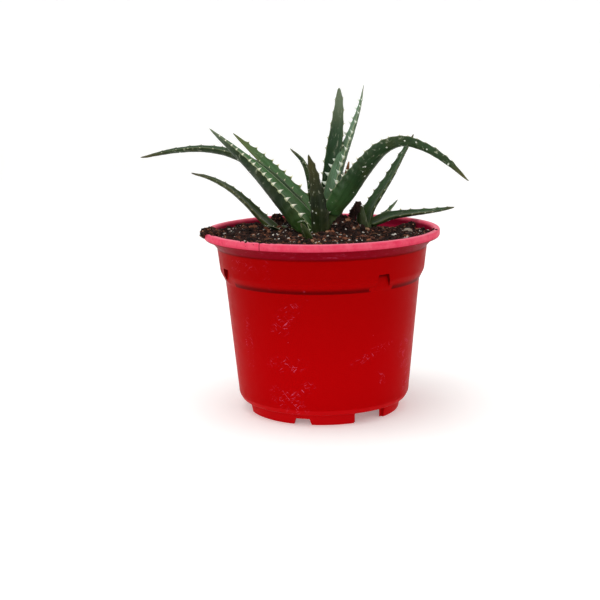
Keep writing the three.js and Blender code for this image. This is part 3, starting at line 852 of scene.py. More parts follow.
class LeafTree:
    """The geometry tree that grows a leaf's teeth and spots on its blade.

    A tooth is drawn 1 long: its bow's start, middle and end, then how blunt its point is, how
    hollow its flanks are, its radius at the root and how flat it is.
    """

    TOOTH_STEPS = 7
    TOOTH_BOW = ((-0.2, -0.12, 0), (0.42, -0.1, 0), (1.0, 0.3, 0))
    TOOTH_POINT = 1.03
    TOOTH_HOLLOW = 1.7
    TOOTH_ROOT = 0.44
    TOOTH_SQUASH = (1.0, 1.0, 0.5)
    SPOT_SQUASH = (1.0, 1.25, 0.5)

    def __init__(self) -> None:
        """Builds the tree."""
        inputs = {
            "Tooth Length": ("NodeSocketFloat", 2.9 * MM),
            "Material": ("NodeSocketMaterial", None),
        }
        self.graph, self.sockets = growing_tree("Leaf Dressing", inputs)
        blade = self.sockets["Geometry"]
        end_tree(self.graph, [blade, self._teeth(blade), self._spots(blade)], self.sockets["Material"])

    def _read(self, name: str, kind: str) -> Any:
        """Reads a value that the blade carries."""
        node = self.graph.add("GeometryNodeInputNamedAttribute", {"Name": name}, data_type=kind)
        return self.graph.out(node, "Attribute")

    def _teeth(self, blade: Any) -> Any:
        """Grows hooked teeth that bend towards the tip."""
        graph = self.graph
        line = graph.bow(self.TOOTH_STEPS, *self.TOOTH_BOW)
        step = graph.out(graph.add("GeometryNodeSplineParameter"), "Factor")
        narrow = graph.math("POWER", graph.math("SUBTRACT", self.TOOTH_POINT, step), self.TOOTH_HOLLOW)
        ring = graph.add("GeometryNodeCurvePrimitiveCircle", {"Resolution": 8, "Radius": self.TOOTH_ROOT})
        cone = graph.tube(graph.mark(line, "tooth", step), graph.out(ring), narrow)
        thorn = graph.add("GeometryNodeTransform", {"Geometry": cone, "Scale": self.TOOTH_SQUASH})
        turn = self._turned("X", self._read("tooth_out", "FLOAT_VECTOR"))
        size = self._read("tooth_size", "FLOAT")
        scale = graph.times(size, self.sockets["Tooth Length"])
        return self._planted(blade, graph.out(thorn), size, turn, scale)

    def _spots(self, blade: Any) -> Any:
        """Raises low pale spots on the back."""
        graph = self.graph
        dome = graph.add("GeometryNodeMeshUVSphere", {"Segments": 8, "Rings": 5, "Radius": 1.0})
        squashed = {"Geometry": graph.out(dome, "Mesh"), "Scale": self.SPOT_SQUASH}
        wart = graph.mark(graph.out(graph.add("GeometryNodeTransform", squashed)), "wart", 1.0)
        turn = self._turned("Z", graph.out(graph.add("GeometryNodeInputNormal")))
        size = self._read("spot_size", "FLOAT")
        return self._planted(blade, wart, size, turn, graph.times(size, MM))

    def _turned(self, axis: str, direction: Any) -> Any:
        """Turns an axis to a direction, with Y towards the leaf's tip as far as that allows."""
        axes = {"Primary Axis": direction, "Secondary Axis": self._read("tooth_along", "FLOAT_VECTOR")}
        turn = self.graph.add("FunctionNodeAxesToRotation", axes, primary_axis=axis, secondary_axis="Y")
        return self.graph.out(turn)

    def _planted(self, blade: Any, shape: Any, size: Any, turn: Any, scale: Any) -> Any:
        """Puts a shape on each corner of the blade that has a size.

        Args:
            blade: the blade's socket.
            shape: the shape to plant.
            size: each corner's size, which is 0 where nothing grows.
            turn: how the shape is turned there.
            scale: how large it is there.

        Returns:
            The planted shapes' socket.
        """
        chosen = self.graph.add("FunctionNodeCompare", {"A": size, "B": 0.0}, operation="GREATER_THAN")
        inputs = {
            "Points": blade,
            "Selection": self.graph.out(chosen),
            "Instance": shape,
            "Rotation": turn,
            "Scale": scale,
        }
        return self.graph.out(self.graph.add("GeometryNodeInstanceOnPoints", inputs))


# Each back green is darker than its channel green, partly the leaf's own colour and partly painted shade.
DARK = LeafFinish("Dark Green Leaf", (36, 56, 24), (44, 72, 38), (60, 84, 38), (74, 66, 34),
                  rim=(112, 122, 80), spine=(204, 204, 168), wax=0.25)
OLIVE = LeafFinish("Olive Leaf", (50, 62, 24), (56, 76, 32), (74, 90, 42), (70, 58, 34),
                   rim=(126, 130, 84), spine=(196, 192, 148), wax=0.25)
BRIGHT = LeafFinish("Bright Green Leaf", (30, 50, 22), (62, 104, 54), (78, 116, 52), (92, 106, 84),
                    rim=(188, 196, 148), wax=0.3, tip_from=0.7)
FRESH = LeafFinish("Fresh Green Leaf", (46, 74, 36), (66, 106, 56), (82, 120, 58), (88, 94, 46),
                   rim=(132, 142, 78), spine=(226, 226, 186), wax=0.2, tip_from=0.62)
TEAL = LeafFinish("Grey Green Leaf", (82, 108, 80), (104, 136, 106), (86, 114, 72), (98, 110, 88),
                  rim=(190, 200, 160), spine=(232, 240, 226), wax=0.4)
TALL = LeafFinish("Tall Leaf", (36, 60, 34), (44, 72, 44), (60, 90, 46), (112, 124, 100),
                  rim=(140, 150, 112), spine=(216, 218, 190), wax=0.3, tip_from=0.6)
ARCH = LeafFinish("Arching Leaf", (42, 66, 38), (48, 74, 40), (74, 116, 62), (84, 78, 40),
                  rim=(120, 130, 88), wax=0.3, scraped=1.0)
KEEL = LeafFinish("Brown Keeled Leaf", (28, 40, 14), (50, 90, 58), (58, 70, 40), (64, 62, 28),
                  rim=(84, 90, 50), wax=0.1, scraped=0.9, tip_from=0.45)
DRY = LeafFinish("Withered Leaf", (92, 44, 28), (110, 60, 38), (150, 112, 84), (170, 126, 92), wax=0.1)

LEAVES = (
    Leaf("leaf_front", ((0, -9, 89), (-0.5, -10, 96), (-1.5, -11.5, 106), (-3, -13, 118), (-6, -14, 131.5)),
         10.5, 5.5, 0.6, (0.1, 1, 0.2), 6.5, KEEL, 4, 0.55),
    Leaf("leaf_right_arching", ((5, -2.5, 102), (12, -6, 112), (21, -13, 124.8), (30.5, -20, 135.2),
                                (40, -27, 138.8), (51, -34, 135.4), (61, -40, 128.3), (69.5, -45, 120)),
         15, 7, 0.78, (-0.4, 0.6, 0.8), 5, ARCH, 22, 0.7, 0.4, 1.0, 0.9),
    Leaf("leaf_tall_narrow", ((4, 4, 100), (6, 8, 115), (10.5, 12, 128), (15.5, 17, 140), (20, 22, 152),
                              (23, 26, 164)),
         13.5, 6, 1.1, (-0.86, -0.44, 0.3), 4.8, TEAL, 14, 1.25, 0.72),
    Leaf("leaf_tall", ((2.5, 9, 97), (5, 13, 112), (6.5, 14.5, 127), (8.5, 16.5, 142), (9.8, 17.5, 154),
                       (10, 17.5, 163)),
         11.5, 4.5, 0.48, (0.05, -1, 0.15), 6, TALL, 8, 0.8, 0.53, 1.0, 0.3),
    Leaf("leaf_small", ((-1.5, 3, 98), (-3.5, 5, 108), (-5.5, 7, 119), (-9, 8, 127), (-15.5, 9, 133)),
         7.5, 4.5, 0.7, (0.9, -0.1, 0.3), 7, DARK, 6, 0.6),
    Leaf("leaf_left_channelled", ((-4, 0, 92), (-10, 1, 99.5), (-19.5, 5, 110), (-30.5, 11, 121),
                                  (-42.5, 17, 131.3), (-58, 25, 143)),
         20.5, 11.2, 0.98, (0.57, -0.14, 0.78), 4.4, BRIGHT, 20, 1.1, 0.84, -1.0, 0.5, (-1,)),
    Leaf("leaf_left_back", ((-2, 8, 97), (-9, 16, 104), (-18.5, 25, 113.5), (-29.5, 35, 124),
                            (-47.5, 50, 139)),
         12, 4.5, 0.72, (0.5, -0.72, 0.5), 6.2, FRESH, 8, 1.1, 0.2, 1.0, 0.9, (1,)),
    Leaf("leaf_left_long", ((-4, 7, 94), (-16, 14, 108), (-30, 21.5, 121), (-45, 27, 129.5),
                            (-60.5, 31, 132.5), (-77.5, 34, 131.5), (-96.5, 36, 127.5)),
         12.5, 5.5, 0.62, (0.45, -0.2, 0.9), 6.5, DARK, 14, 0.6, 0.5, 1.0, 0.9),
    Leaf("leaf_back_upright", ((5, 9, 98), (7.5, 16, 109), (9.5, 25, 119), (10.5, 34, 127)),
         9.5, 4, 0.75, (-0.2, -0.7, 0.7), 5.5, DARK, 8),
    Leaf("leaf_back_low", ((2, 8, 93), (2, 18, 97.5), (2, 31, 102.5), (3, 45, 105.5), (5, 58, 105.5)),
         12, 4.5, 0.75, (-0.1, -0.6, 0.8), 6, OLIVE, 12),
    Leaf("withered_leaf_scrap", ((9, 3, 100), (11.5, 5, 110), (13, 7, 119), (14.5, 9, 126)),
         5, 2.2, 0.5, (-0.5, -0.7, 0.3), 0, DRY, 0),
    Leaf("left_offset_leaf_long", ((-22, 17, 89), (-31.5, 23, 96.5), (-39.5, 28, 104), (-49.5, 33, 111.5),
                                   (-60.5, 37, 116.5), (-70, 40, 118.5)),
         7.5, 4, 0.6, (0.3, -0.2, 0.9), 6, OLIVE, 8, 0.55),
    Leaf("left_offset_leaf_front", ((-21, 13, 88.5), (-23, 9, 91), (-26, 4, 93.5), (-29.5, 0, 94.5)),
         6, 2.4, 0.7, (0.3, 0.4, 0.9), 4, BRIGHT, 3),
    Leaf("left_offset_leaf_right", ((-17, 17, 88.5), (-13.5, 14.5, 92), (-11.5, 11, 95), (-10.5, 7.5, 96.5)),
         5, 2.2, 0.7, (-0.4, 0.5, 0.8), 4, BRIGHT, 3),
    Leaf("right_offset_leaf_up", ((23, 19, 90), (25, 21, 99.5), (30.5, 24, 108), (36.5, 28, 116.5),
                                  (43.3, 33, 127.5), (49.8, 38, 137.4)),
         8, 4, 0.6, (-0.6, -0.5, 0.6), 5.5, DARK, 8, 0.6, 0.5, 1.0, 0.8),
    Leaf("right_offset_sheath", ((21, 13, 89), (21, 13, 93), (20.5, 14, 98), (20.5, 15.5, 102.5)),
         7, 4, 0.4, (0.3, 0.9, 0.2), 0, OLIVE, 3),
    Leaf("right_offset_leaf_low", ((26, 20, 92.5), (35, 23, 95.8), (47, 26, 97), (59, 29, 97.6),
                                   (71, 30, 99)),
         8.5, 3.6, 0.6, (-0.1, -0.3, 1), 6, DARK, 8, 0.6, 0.5, 1.0, 0.8),
    Leaf("right_offset_leaf_tiny", ((27, 26, 90), (31, 28.5, 94), (36, 31.5, 98), (41, 34.5, 103)),
         5, 2.4, 0.7, (-0.5, -0.4, 0.7), 5, BRIGHT, 3),
    Leaf("front_pup_leaf", ((-6.5, -30, 88.5), (-7, -31.5, 93), (-8, -32.5, 96), (-10, -33, 100)),
         6.5, 3, 0.6, (0.2, 1, 0.2), 0, OLIVE, 3),
    Leaf("front_pup_leaf_back", ((-5.5, -24, 89), (-6.5, -24.5, 95), (-8.5, -25.5, 100), (-12, -26.5, 99.5)),
         4.5, 2, 0.6, (0.7, 0.2, 0.6), 3.5, BRIGHT, 2),
)


@dataclass(frozen=True)
class Scuff:
    """A pale rubbed patch on the pot's outside, broken up into small strokes."""

    azimuth: float
    height: float
    wide: float
    tall: float
    strength: float = 0.6
    tilt: float = 0.0


@dataclass(frozen=True)
class PlasticFinish:
    """Thin red plastic, scuffed and specked with peat, with a pink lip and a scratched collar in painted
    shade.

    The spans are heights in millimetres, from where a change starts to where it is complete.
    """

    name: str = "Worn Red Plastic"
    body: Colour = (174, 0, 3)
    upper: Colour = (158, 0, 1)
    lip: Colour = (222, 60, 90)
    # lip_pale gives both the lip's uneven tone and a painted highlight along its top; lip_deep gives both its
    # uneven tone and painted shade low on it.
    lip_pale: Colour = (242, 130, 152)
    lip_deep: Colour = (190, 34, 62)
    seam: float = -29.4
    # The collar colour is painted shade under the lip.
    collar: Colour = (128, 4, 22)
    # Painted shade for the creases, the ledge and the stacking notches; the lip's seam line is drawn in it
    # too.
    crease_shade: Colour = (96, 0, 2)
    foot: Colour = (190, 8, 14)
    # The inner wall's deeper crimson is painted shade.
    inside: Colour = (146, 12, 46)
    dust: Colour = (206, 70, 92)
    rub: Colour = (212, 96, 132)
    dirt: Colour = (70, 30, 22)
    scuffs: tuple[Scuff, ...] = (
        Scuff(-21, 57, 18, 9, 0.9, 35), Scuff(-24, 50.5, 15, 8, 0.8, 20), Scuff(-23, 32, 26, 9, 0.85),
        Scuff(-23, 13, 26, 13, 1.0, -25), Scuff(-13, 19, 16, 8, 0.8, 25), Scuff(38, 23, 10, 6, 1.0, -25),
        Scuff(33, 37, 30, 6, 0.8, 20), Scuff(61, 34, 14, 20, 0.9), Scuff(67, 20, 12, 30, 1.0),
        Scuff(-52, 40, 8, 40, 0.5),
        Scuff(-10, 69, 1.2, 2.2, 0.9), Scuff(-8.5, 65, 1.2, 1.6, 0.9), Scuff(-30, 78, 6, 20, 0.22),
        Scuff(-48, 80, 26, 12, 0.25), Scuff(105, 40, 16, 10, 0.5), Scuff(150, 22, 20, 9, 0.5),
        Scuff(-100, 30, 14, 12, 0.5), Scuff(-150, 58, 18, 7, 0.45), Scuff(178, 60, 12, 5, 0.4),
    )
    girth: float = 49.0

    GLOSS = 0.012
    WANDER = Patches(5.0, 0.2, 0.8)
    LIP_WEAR = Patches(2.2, 0.5, 0.75)
    FINE_RELIEF = Patches(1.2, 0.2, 0.8)
    CLUMPS = Patches(3.5, 0.42, 0.6)
    COLLAR_LINES = Patches(0.8, 0.55, 0.68)
    COLLAR_PLACES = Patches(9.0, 0.4, 0.65)
    STROKES = ((0.62, Patches(1.5, 0.62, 0.7, detail=1.5)), (-0.8, Patches(1.2, 0.62, 0.7, detail=1.5)),
               (0.15, Patches(1.0, 0.62, 0.7, detail=1.5)))
    BODY_RISE = (15.0, 84.0)
    # Where the collar's painted shade begins.
    COLLAR_SHADE_FROM = (84.6, 85.6)
    # Painted shade at the collar's foot, a painted shadow under the ledge, and one under the notches' tops.
    COLLAR_CREASE_SHADE = ((83.6, 84.5), (85.4, 84.7))
    LEDGE_SHADOW = ((67.3, 67.9), (71.0, 68.4))
    POCKET_SHADE = (73.6, 75.4)
    COLLAR_BAND = ((85.2, 86.0), (88.9, 88.2))
    # The lip colour starts above its bottom strip, which keeps the collar's painted shade; then a painted
    # highlight along the top edge and painted shade low on the face.
    LIP_FROM = (89.4, 89.8)
    LIP_TOP_HIGHLIGHT = (92.5, 93.0)
    LIP_UNDER_SHADE = (91.2, 89.8)
    SEAM_HALF = (0.35, 0.1)
    SEAM_FROM = (89.0, 89.4)
    FOOT_FROM = (8.9, 8.2)
    # Where the inner wall's painted shade begins.
    INSIDE_SHADE_FROM = (92.4, 91.0)
    FOOT_DIRT = (9.5, 5.0)
    LIP_DIRT = (86.0, 90.0)
    DIRTY_SIDE = Scuff(66, 30, 12, 60, 1.0)

    def material(self) -> bpy.types.Material:
        """Builds the plastic's material."""
        dress = Dressing(self.name, Specular_IOR_Level=self.GLOSS)
        graph, place = dress.graph, dress.place
        parts = graph.add("ShaderNodeSeparateXYZ", {"Vector": place})
        height = graph.out(parts, "Z")
        azimuth = graph.math("ARCTAN2", graph.out(parts, "X"), graph.times(graph.out(parts, "Y"), -1.0))
        around = graph.times(azimuth, self.girth)
        wall = graph.out(graph.add("ShaderNodeCombineXYZ", {"X": around, "Y": height}))
        inside = graph.attribute("inside")
        outside = graph.math("SUBTRACT", 1.0, inside)
        wander = self.WANDER.mask(graph, place)
        drift = graph.math("ADD", height, graph.times(wander, 0.8))
        colour = graph.blend(graph.ramp(height, *self.BODY_RISE), self.body, self.upper)
        # Painted shade: the collar under the lip is darker.
        colour = graph.blend(graph.ramp(drift, *self.COLLAR_SHADE_FROM), colour, self.collar)
        # Painted shade in the creases, under the ledge and in the stacking notches.
        colour = graph.blend(graph.times(self._painted_shade_lines(graph, height), outside), colour, self.crease_shade)
        # The lip's pinks start above its bottom strip, which keeps the collar's painted shade.
        lip = self._lip_colour(graph, place, height, wander)
        colour = graph.blend(graph.ramp(height, *self.LIP_FROM), colour, lip)
        # The seam is the lip's own dark line, drawn in the colour of the painted shade in the creases.
        colour = graph.blend(self._seam_line(graph, around, height), colour, self.crease_shade)
        colour = graph.blend(graph.ramp(height, *self.FOOT_FROM), colour, self.foot)
        # Painted shade on the inner wall.
        colour = graph.blend(graph.times(inside, graph.ramp(height, *self.INSIDE_SHADE_FROM)), colour, self.inside)
        scratched = graph.times(self._collar_wear(graph, wall, height), 0.7)
        rubbed = graph.times(graph.math("MAXIMUM", self._rubbed(graph, wall), scratched), outside)
        colour = graph.blend(rubbed, colour, self.rub)
        colour = graph.tint(colour, Effects.specks(graph, place, 3.4, 0.1, 0.1), 0.45, self.dust)
        colour = graph.blend(self._dirty(graph, place, wall, height), colour, self.dirt)
        roughness = graph.math("ADD", graph.ramp(wander, 0.0, 1.0, 0.3, 0.42), graph.times(rubbed, 0.35))
        return dress.finish(colour, roughness, self.FINE_RELIEF.mask(graph, place), 0.02)

    @staticmethod
    def _between(graph: Graph, height: Any, lines: tuple[Span, Span]) -> Any:
        """Masks a level band by where it fades in and where it fades out."""
        rise, fall = lines
        return graph.times(graph.ramp(height, *rise), graph.ramp(height, *fall))

    def _painted_shade_lines(self, graph: Graph, height: Any) -> Any:
        """Masks the painted shade: lines under the collar and on the ledge, the stacking notches' walls, and
        a painted shadow under their tops.
        """
        pocket, reach = graph.attribute("pocket"), graph.attribute("pocket_reach")
        collar = graph.times(self._between(graph, height, self.COLLAR_CREASE_SHADE), 0.7)
        ledge = self._between(graph, height, self.LEDGE_SHADOW)
        ledge = graph.times(ledge, graph.math("SUBTRACT", 1.0, reach))
        crease_shade = graph.math("MAXIMUM", collar, graph.times(ledge, 0.95))
        crease_shade = graph.math("MAXIMUM", crease_shade, graph.times(pocket, 0.9))
        under = graph.times(reach, graph.ramp(height, *self.POCKET_SHADE))
        return graph.math("MAXIMUM", crease_shade, under)

    def _lip_colour(self, graph: Graph, place: Any, height: Any, wander: Any) -> Any:
        """Mixes the lip's pinks: a painted highlight on top, painted shade below, and uneven all round."""
        colour = graph.tint(self.lip, wander, 0.4, self.lip_pale)
        colour = graph.tint(colour, self.LIP_WEAR.mask(graph, place), 0.4, self.lip_deep)
        colour = graph.blend(graph.ramp(height, *self.LIP_TOP_HIGHLIGHT, 0.0, 0.5), colour, self.lip_pale)
        return graph.blend(graph.ramp(height, *self.LIP_UNDER_SHADE, 0.0, 0.4), colour, self.lip_deep)

    def _seam_line(self, graph: Graph, around: Any, height: Any) -> Any:
        """Masks the fine seam that crosses the lip."""
        beside = graph.math("SUBTRACT", around, math.radians(self.seam) * self.girth)
        beside = graph.math("ABSOLUTE", beside)
        return graph.times(graph.ramp(beside, *self.SEAM_HALF), graph.ramp(height, *self.SEAM_FROM, 0.0, 0.7))

    def _dirty(self, graph: Graph, place: Any, wall: Any, height: Any) -> Any:
        """Masks the specks of peat at the foot, under the lip and on one side."""
        grit = Effects.specks(graph, graph.moved(place, (11.0, 4.0, 7.0)), 3.0, 0.12, 0.13)
        foot, lip = graph.ramp(height, *self.FOOT_DIRT), graph.ramp(height, *self.LIP_DIRT, 0.0, 0.9)
        side = self._patch(graph, wall, self.DIRTY_SIDE)
        return graph.times(grit, graph.math("MAXIMUM", graph.math("MAXIMUM", foot, lip), side))

    @staticmethod
    def _patch(graph: Graph, wall: Any, scuff: Scuff) -> Any:
        """Masks a soft oval on the unrolled wall.

        Args:
            graph: the material to add to.
            wall: the unrolled wall's coordinates in millimetres.
            scuff: where the oval is and how large.

        Returns:
            The oval's mask.
        """
        centre = (math.radians(scuff.azimuth) * PlasticFinish.girth, scuff.height, 0.0)
        moved = graph.vector("SUBTRACT", wall, centre)
        tilt = (0.0, 0.0, -math.radians(scuff.tilt))
        turned = graph.add("ShaderNodeMapping", {"Vector": moved, "Rotation": tilt})
        squeezed = graph.vector("DIVIDE", graph.out(turned), (scuff.wide / 2, scuff.tall / 2, 1.0))
        length = graph.tree.nodes.new("ShaderNodeVectorMath")
        length.operation = "LENGTH"
        graph.feed(length.inputs[0], squeezed)
        return graph.ramp(length.outputs["Value"], 1.15, 0.35, 0.0, scuff.strength)

    def _rubbed(self, graph: Graph, wall: Any) -> Any:
        """Joins the scuffs and breaks them into strokes."""
        total: Any = 0.0
        for scuff in self.scuffs:
            total = graph.math("MAXIMUM", total, self._patch(graph, wall, scuff))
        worn: Any = 0.0
        for turn, strokes in self.STROKES:
            drawn = graph.add(
                "ShaderNodeMapping",
                {"Vector": wall, "Rotation": (0.0, 0.0, turn), "Scale": (4.2, 0.5, 1.0)},
                vector_type="TEXTURE",
            )
            worn = graph.math("MAXIMUM", worn, strokes.mask(graph, graph.out(drawn)))
        worn = graph.times(graph.times(worn, self.CLUMPS.mask(graph, wall)), 0.72)
        return graph.times(total, worn)

    def _collar_wear(self, graph: Graph, wall: Any, height: Any) -> Any:
        """Draws the short level scratches on the collar."""
        lines = self.COLLAR_LINES.mask(graph, graph.scaled(wall, (0.16, 1.0, 1.0)))
        gate = self._between(graph, height, self.COLLAR_BAND)
        return graph.times(graph.times(lines, gate), self.COLLAR_PLACES.mask(graph, wall))


@dataclass
class Pot:
    """The round nursery pot: lip, flared collar, straight band, stepped cone and notched foot ring."""

    columns: int = 300
    longest: float = 2.5
    corner_steps: int = 4
    outline: tuple[tuple[float, float, float], ...] = (
        (10, 0, 0.4), (11, 5.7, 0.3), (37.2, 5.7, 0.3), (37.2, 0, 0.3), (38.8, 0, 0.3), (39.8, 5.3, 0.4),
        (42.5, 6, 0.8), (44, 8.7, 1.0), (49.6, 67.5, 0.6), (52.1, 72.6, 0.8), (53.5, 84.6, 0.5),
        (57.2, 88.8, 0.3), (59.4, 89, 0.3), (60, 89.8, 0.5), (60, 92.4, 0.6), (59.3, 93, 0.4),
        (57.3, 93, 0.4), (56.5, 92.2, 0.5), (56.2, 88.8, 0.6), (52.5, 84.6, 0.6), (50.9, 72.85, 0.6),
        (48.4, 67.75, 0.6), (42.8, 8.95, 0.6), (41.2, 6.9, 0.6), (12, 6.9, 0.5), (9.2, 1.2, 0.5),
    )
    outer_corners: int = 17
    underside: float = 0.0
    floor: float = 1.2
    notch_azimuths: tuple[float, ...] = (34.5, -66.0, 164.0)
    notch_widths: Span = (9.6, 5.9)
    notch_heights: Span = (68.2, 75.9)
    notch_radius: float = 50.2
    notch_reach: float = 7.5
    notch_floor: Span = (49.4, 50.9)
    clear_radius: float = 58.0
    boss_width: float = 10.5
    boss_top: float = 77.1
    boss_bottom: float = 60.0
    boss_inner: float = 48.9
    gap_azimuth: float = 36.0
    gap_width: float = 18.6
    gap_height: float = 5.6
    gap_radii: Span = (36.4, 41.6)
    foot_notch_azimuth: float = -16.0
    foot_notch_width: float = 8.0
    foot_notch_height: float = 3.2
    foot_notch_radii: Span = (36, 41)
    foot_notch_flare: Span = (1.6, -0.8)
    drain_radius: float = 3.4
    drain_ring: float = 30.0
    drain_azimuth: float = 6.0
    drain_span: Span = (4.0, 8.0)
    drain_sides: int = 24
    sharp_from: float = 42.0
    finish: PlasticFinish = field(default_factory=PlasticFinish)

    def profile(self) -> tuple[np.ndarray, np.ndarray]:
        """Rounds the outline's corners and splits its long runs.

        Returns:
            The points as radius and height, and 1 for each point on the inner wall.
        """
        corners = np.array([corner[:2] for corner in self.outline], dtype=float)
        ends = np.vstack([(0, self.underside), corners, (0, self.floor)])
        points, inside = [], []
        for number, (x, z, soft) in enumerate(self.outline):
            here = np.array((x, z))
            before, after = ends[number] - here, ends[number + 2] - here
            room = 0.45 * min(np.linalg.norm(before), np.linalg.norm(after))
            cut = min(soft, room)
            start = here + before / np.linalg.norm(before) * cut
            end = here + after / np.linalg.norm(after) * cut
            for step in range(self.corner_steps + 1):
                t = step / self.corner_steps
                points.append((1 - t) ** 2 * start + 2 * t * (1 - t) * here + t**2 * end)
                inside.append(float(number >= self.outer_corners - 1))
        full, mark = [points[0]], [inside[0]]
        for a, b, flag in zip(points, points[1:], inside[1:]):
            pieces = max(1, math.ceil(float(np.linalg.norm(b - a)) / self.longest))
            for step in range(1, pieces + 1):
                full.append(a + (b - a) * step / pieces)
                mark.append(flag)
        return np.array(full), np.array(mark)

    def shell(self) -> bpy.types.Object:
        """Turns the profile round the axis, with the bosses behind the notches pushed in."""
        line, inside = self.profile()
        azimuths = np.arange(self.columns) * 360 / self.columns
        turn = np.radians(azimuths)[:, None]
        radius = np.broadcast_to(line[:, 0], (self.columns, len(line))).copy()
        off = degrees_off(azimuths, self.notch_azimuths)
        near_boss = (np.radians(off) * self.boss_inner < self.boss_width / 2)[:, None]
        high = (line[:, 1] < self.boss_top) & (line[:, 1] > self.boss_bottom)
        at_boss = near_boss & (high & (inside > 0))[None, :]
        radius = np.where(at_boss, np.minimum(radius, self.boss_inner), radius)
        heights = np.broadcast_to(line[:, 1], radius.shape)
        points = np.stack([radius * np.sin(turn), -radius * np.cos(turn), heights], -1)
        rings = np.moveaxis(points, 0, 1).reshape(-1, 3)
        corners = np.vstack([(0, 0, self.underside), rings, (0, 0, self.floor)])
        marks = np.concatenate([[0.0], np.repeat(inside, self.columns), [1.0]])
        return make_piece("nursery_pot", corners, tube_faces(len(line), self.columns), {"inside": marks})

    @staticmethod
    def wedge(radii: Span, azimuth: float, wide: Span, heights: Span) -> tuple[list, list]:
        """Makes a block that cuts into the wall.

        Args:
            radii: its nearest and its furthest radius.
            azimuth: where its middle is, in degrees.
            wide: its width at the bottom and at the top.
            heights: its bottom and its top.

        Returns:
            Its corners and faces.
        """
        turn = math.radians(azimuth)
        out = np.array((math.sin(turn), -math.cos(turn), 0))
        along = np.array((math.cos(turn), math.sin(turn), 0))
        inner, outer = radii
        corners = []
        for height, width in zip(heights, wide):
            for radius, sign in ((inner, -1), (outer, -1), (outer, 1), (inner, 1)):
                corners.append(out * radius + along * sign * width / 2 + np.array((0, 0, height)))
        faces = [(0, 3, 2, 1), (4, 5, 6, 7), *((i, (i + 1) % 4, (i + 1) % 4 + 4, i + 4) for i in range(4))]
        return corners, faces

    def pin(self, azimuth: float) -> tuple[list, list]:
        """Makes a round pin that cuts a drain hole, as corners and faces."""
        x, y, _ = on_pot(self.drain_ring, azimuth, 0)
        count = self.drain_sides
        angles = np.linspace(0, 2 * math.pi, count, endpoint=False)
        ring = [(x + self.drain_radius * math.cos(a), y + self.drain_radius * math.sin(a)) for a in angles]
        corners = [(px, py, height) for height in self.drain_span for px, py in ring]
        sides = [(i, (i + 1) % count, (i + 1) % count + count, i + count) for i in range(count)]
        return corners, [tuple(reversed(range(count))), tuple(range(count, 2 * count)), *sides]

    def cutters(self) -> bpy.types.Object:
        """Makes everything that is cut out of the shell, as one mesh."""
        gap = (self.gap_width, self.gap_width)
        foot_notch = tuple(self.foot_notch_width + flare for flare in self.foot_notch_flare)
        blocks = [
            self.wedge((self.notch_radius, self.clear_radius), azimuth, self.notch_widths, self.notch_heights)
            for azimuth in self.notch_azimuths
        ]
        for turn in (0, 120, 240):
            blocks.append(self.wedge(self.gap_radii, self.gap_azimuth + turn, gap, (-1, self.gap_height)))
            azimuth, heights = self.foot_notch_azimuth + turn, (-0.6, self.foot_notch_height)
            blocks.append(self.wedge(self.foot_notch_radii, azimuth, foot_notch, heights))
        blocks.extend(self.pin(self.drain_azimuth + 60 * hole) for hole in range(6))
        corners: list[Any] = []
        faces: list[Sequence[int]] = []
        for block_corners, block_faces in blocks:
            first = len(corners)
            corners.extend(block_corners)
            faces.extend(tuple(first + corner for corner in face) for face in block_faces)
        return make_piece("pot_cutters", np.array(corners), faces)

    def mark_pockets(self, mesh: bpy.types.Mesh) -> None:
        """Marks the walls of the stacking notches, which get painted shade, and their floors, which get a
        painted shadow under the notches' tops.
        """
        walls, floors = [], []
        (low, high), (shallow, deep) = self.notch_heights, self.notch_floor
        for face in mesh.polygons:
            x, y, z = np.array(face.center) / MM
            radius, azimuth = math.hypot(x, y), math.degrees(math.atan2(x, -y))
            off = degrees_off(azimuth, self.notch_azimuths)
            near = off < self.notch_reach and radius > shallow and low - 1 < z < high + 0.3
            facing = abs(face.normal[0] * x + face.normal[1] * y) / max(radius, MM)
            walls.append(float(near and facing < 0.8))
            floors.append(float(near and facing >= 0.8 and radius < deep))
        mesh.attributes.new("pocket", "FLOAT", "FACE").data.foreach_set("value", walls)
        mesh.attributes.new("pocket_reach", "FLOAT", "FACE").data.foreach_set("value", floors)

    def build(self) -> None:
        """Builds, cuts, dresses and places the pot."""
        pot, tools = self.shell(), self.cutters()
        cut = pot.modifiers.new("Cut", "BOOLEAN")
        cut.operation, cut.solver, cut.object = "DIFFERENCE", "EXACT", tools
        settled(pot)
        bpy.data.objects.remove(tools)
        self.mark_pockets(pot.data)
        pot.data.set_sharp_from_angle(angle=math.radians(self.sharp_from))
        pot.data.materials.clear()
        pot.data.materials.append(self.finish.material())
        place_piece(pot, Slot.RED, "pot")


@dataclass(frozen=True)
class PeatFinish:
    """Damp peat and what lies in it, from the darkest crumb to the palest."""

    name: str
    dark: Colour
    middle: Colour
    light: Colour
    roughness: float = 0.9

    FINE = Patches(0.8, 0.2, 0.8)
    PATCH = Patches(7.0, 0.3, 0.7)
    TONE_SHARE, PATCH_SHARE, FINE_SHARE = 0.62, 0.22, 0.16

    def material(self) -> bpy.types.Material:
        """Builds the material, which reads each crumb's own tone."""
        dress = Dressing(self.name, Specular_IOR_Level=0.2)
        graph = dress.graph
        tone = graph.attribute("tone")
        fine = self.FINE.mask(graph, dress.place)
        patch = self.PATCH.mask(graph, dress.place)
        value = graph.math("ADD", graph.times(tone, self.TONE_SHARE), graph.times(patch, self.PATCH_SHARE))
        value = graph.math("ADD", value, graph.times(fine, self.FINE_SHARE))
        colour = graph.blend(graph.ramp(value, 0.1, 0.6), self.dark, self.middle)
        colour = graph.blend(graph.ramp(value, 0.62, 0.95), colour, self.light)
        return dress.finish(colour, graph.ramp(fine, 0.0, 1.0, self.roughness, 1.0), fine, 0.15)


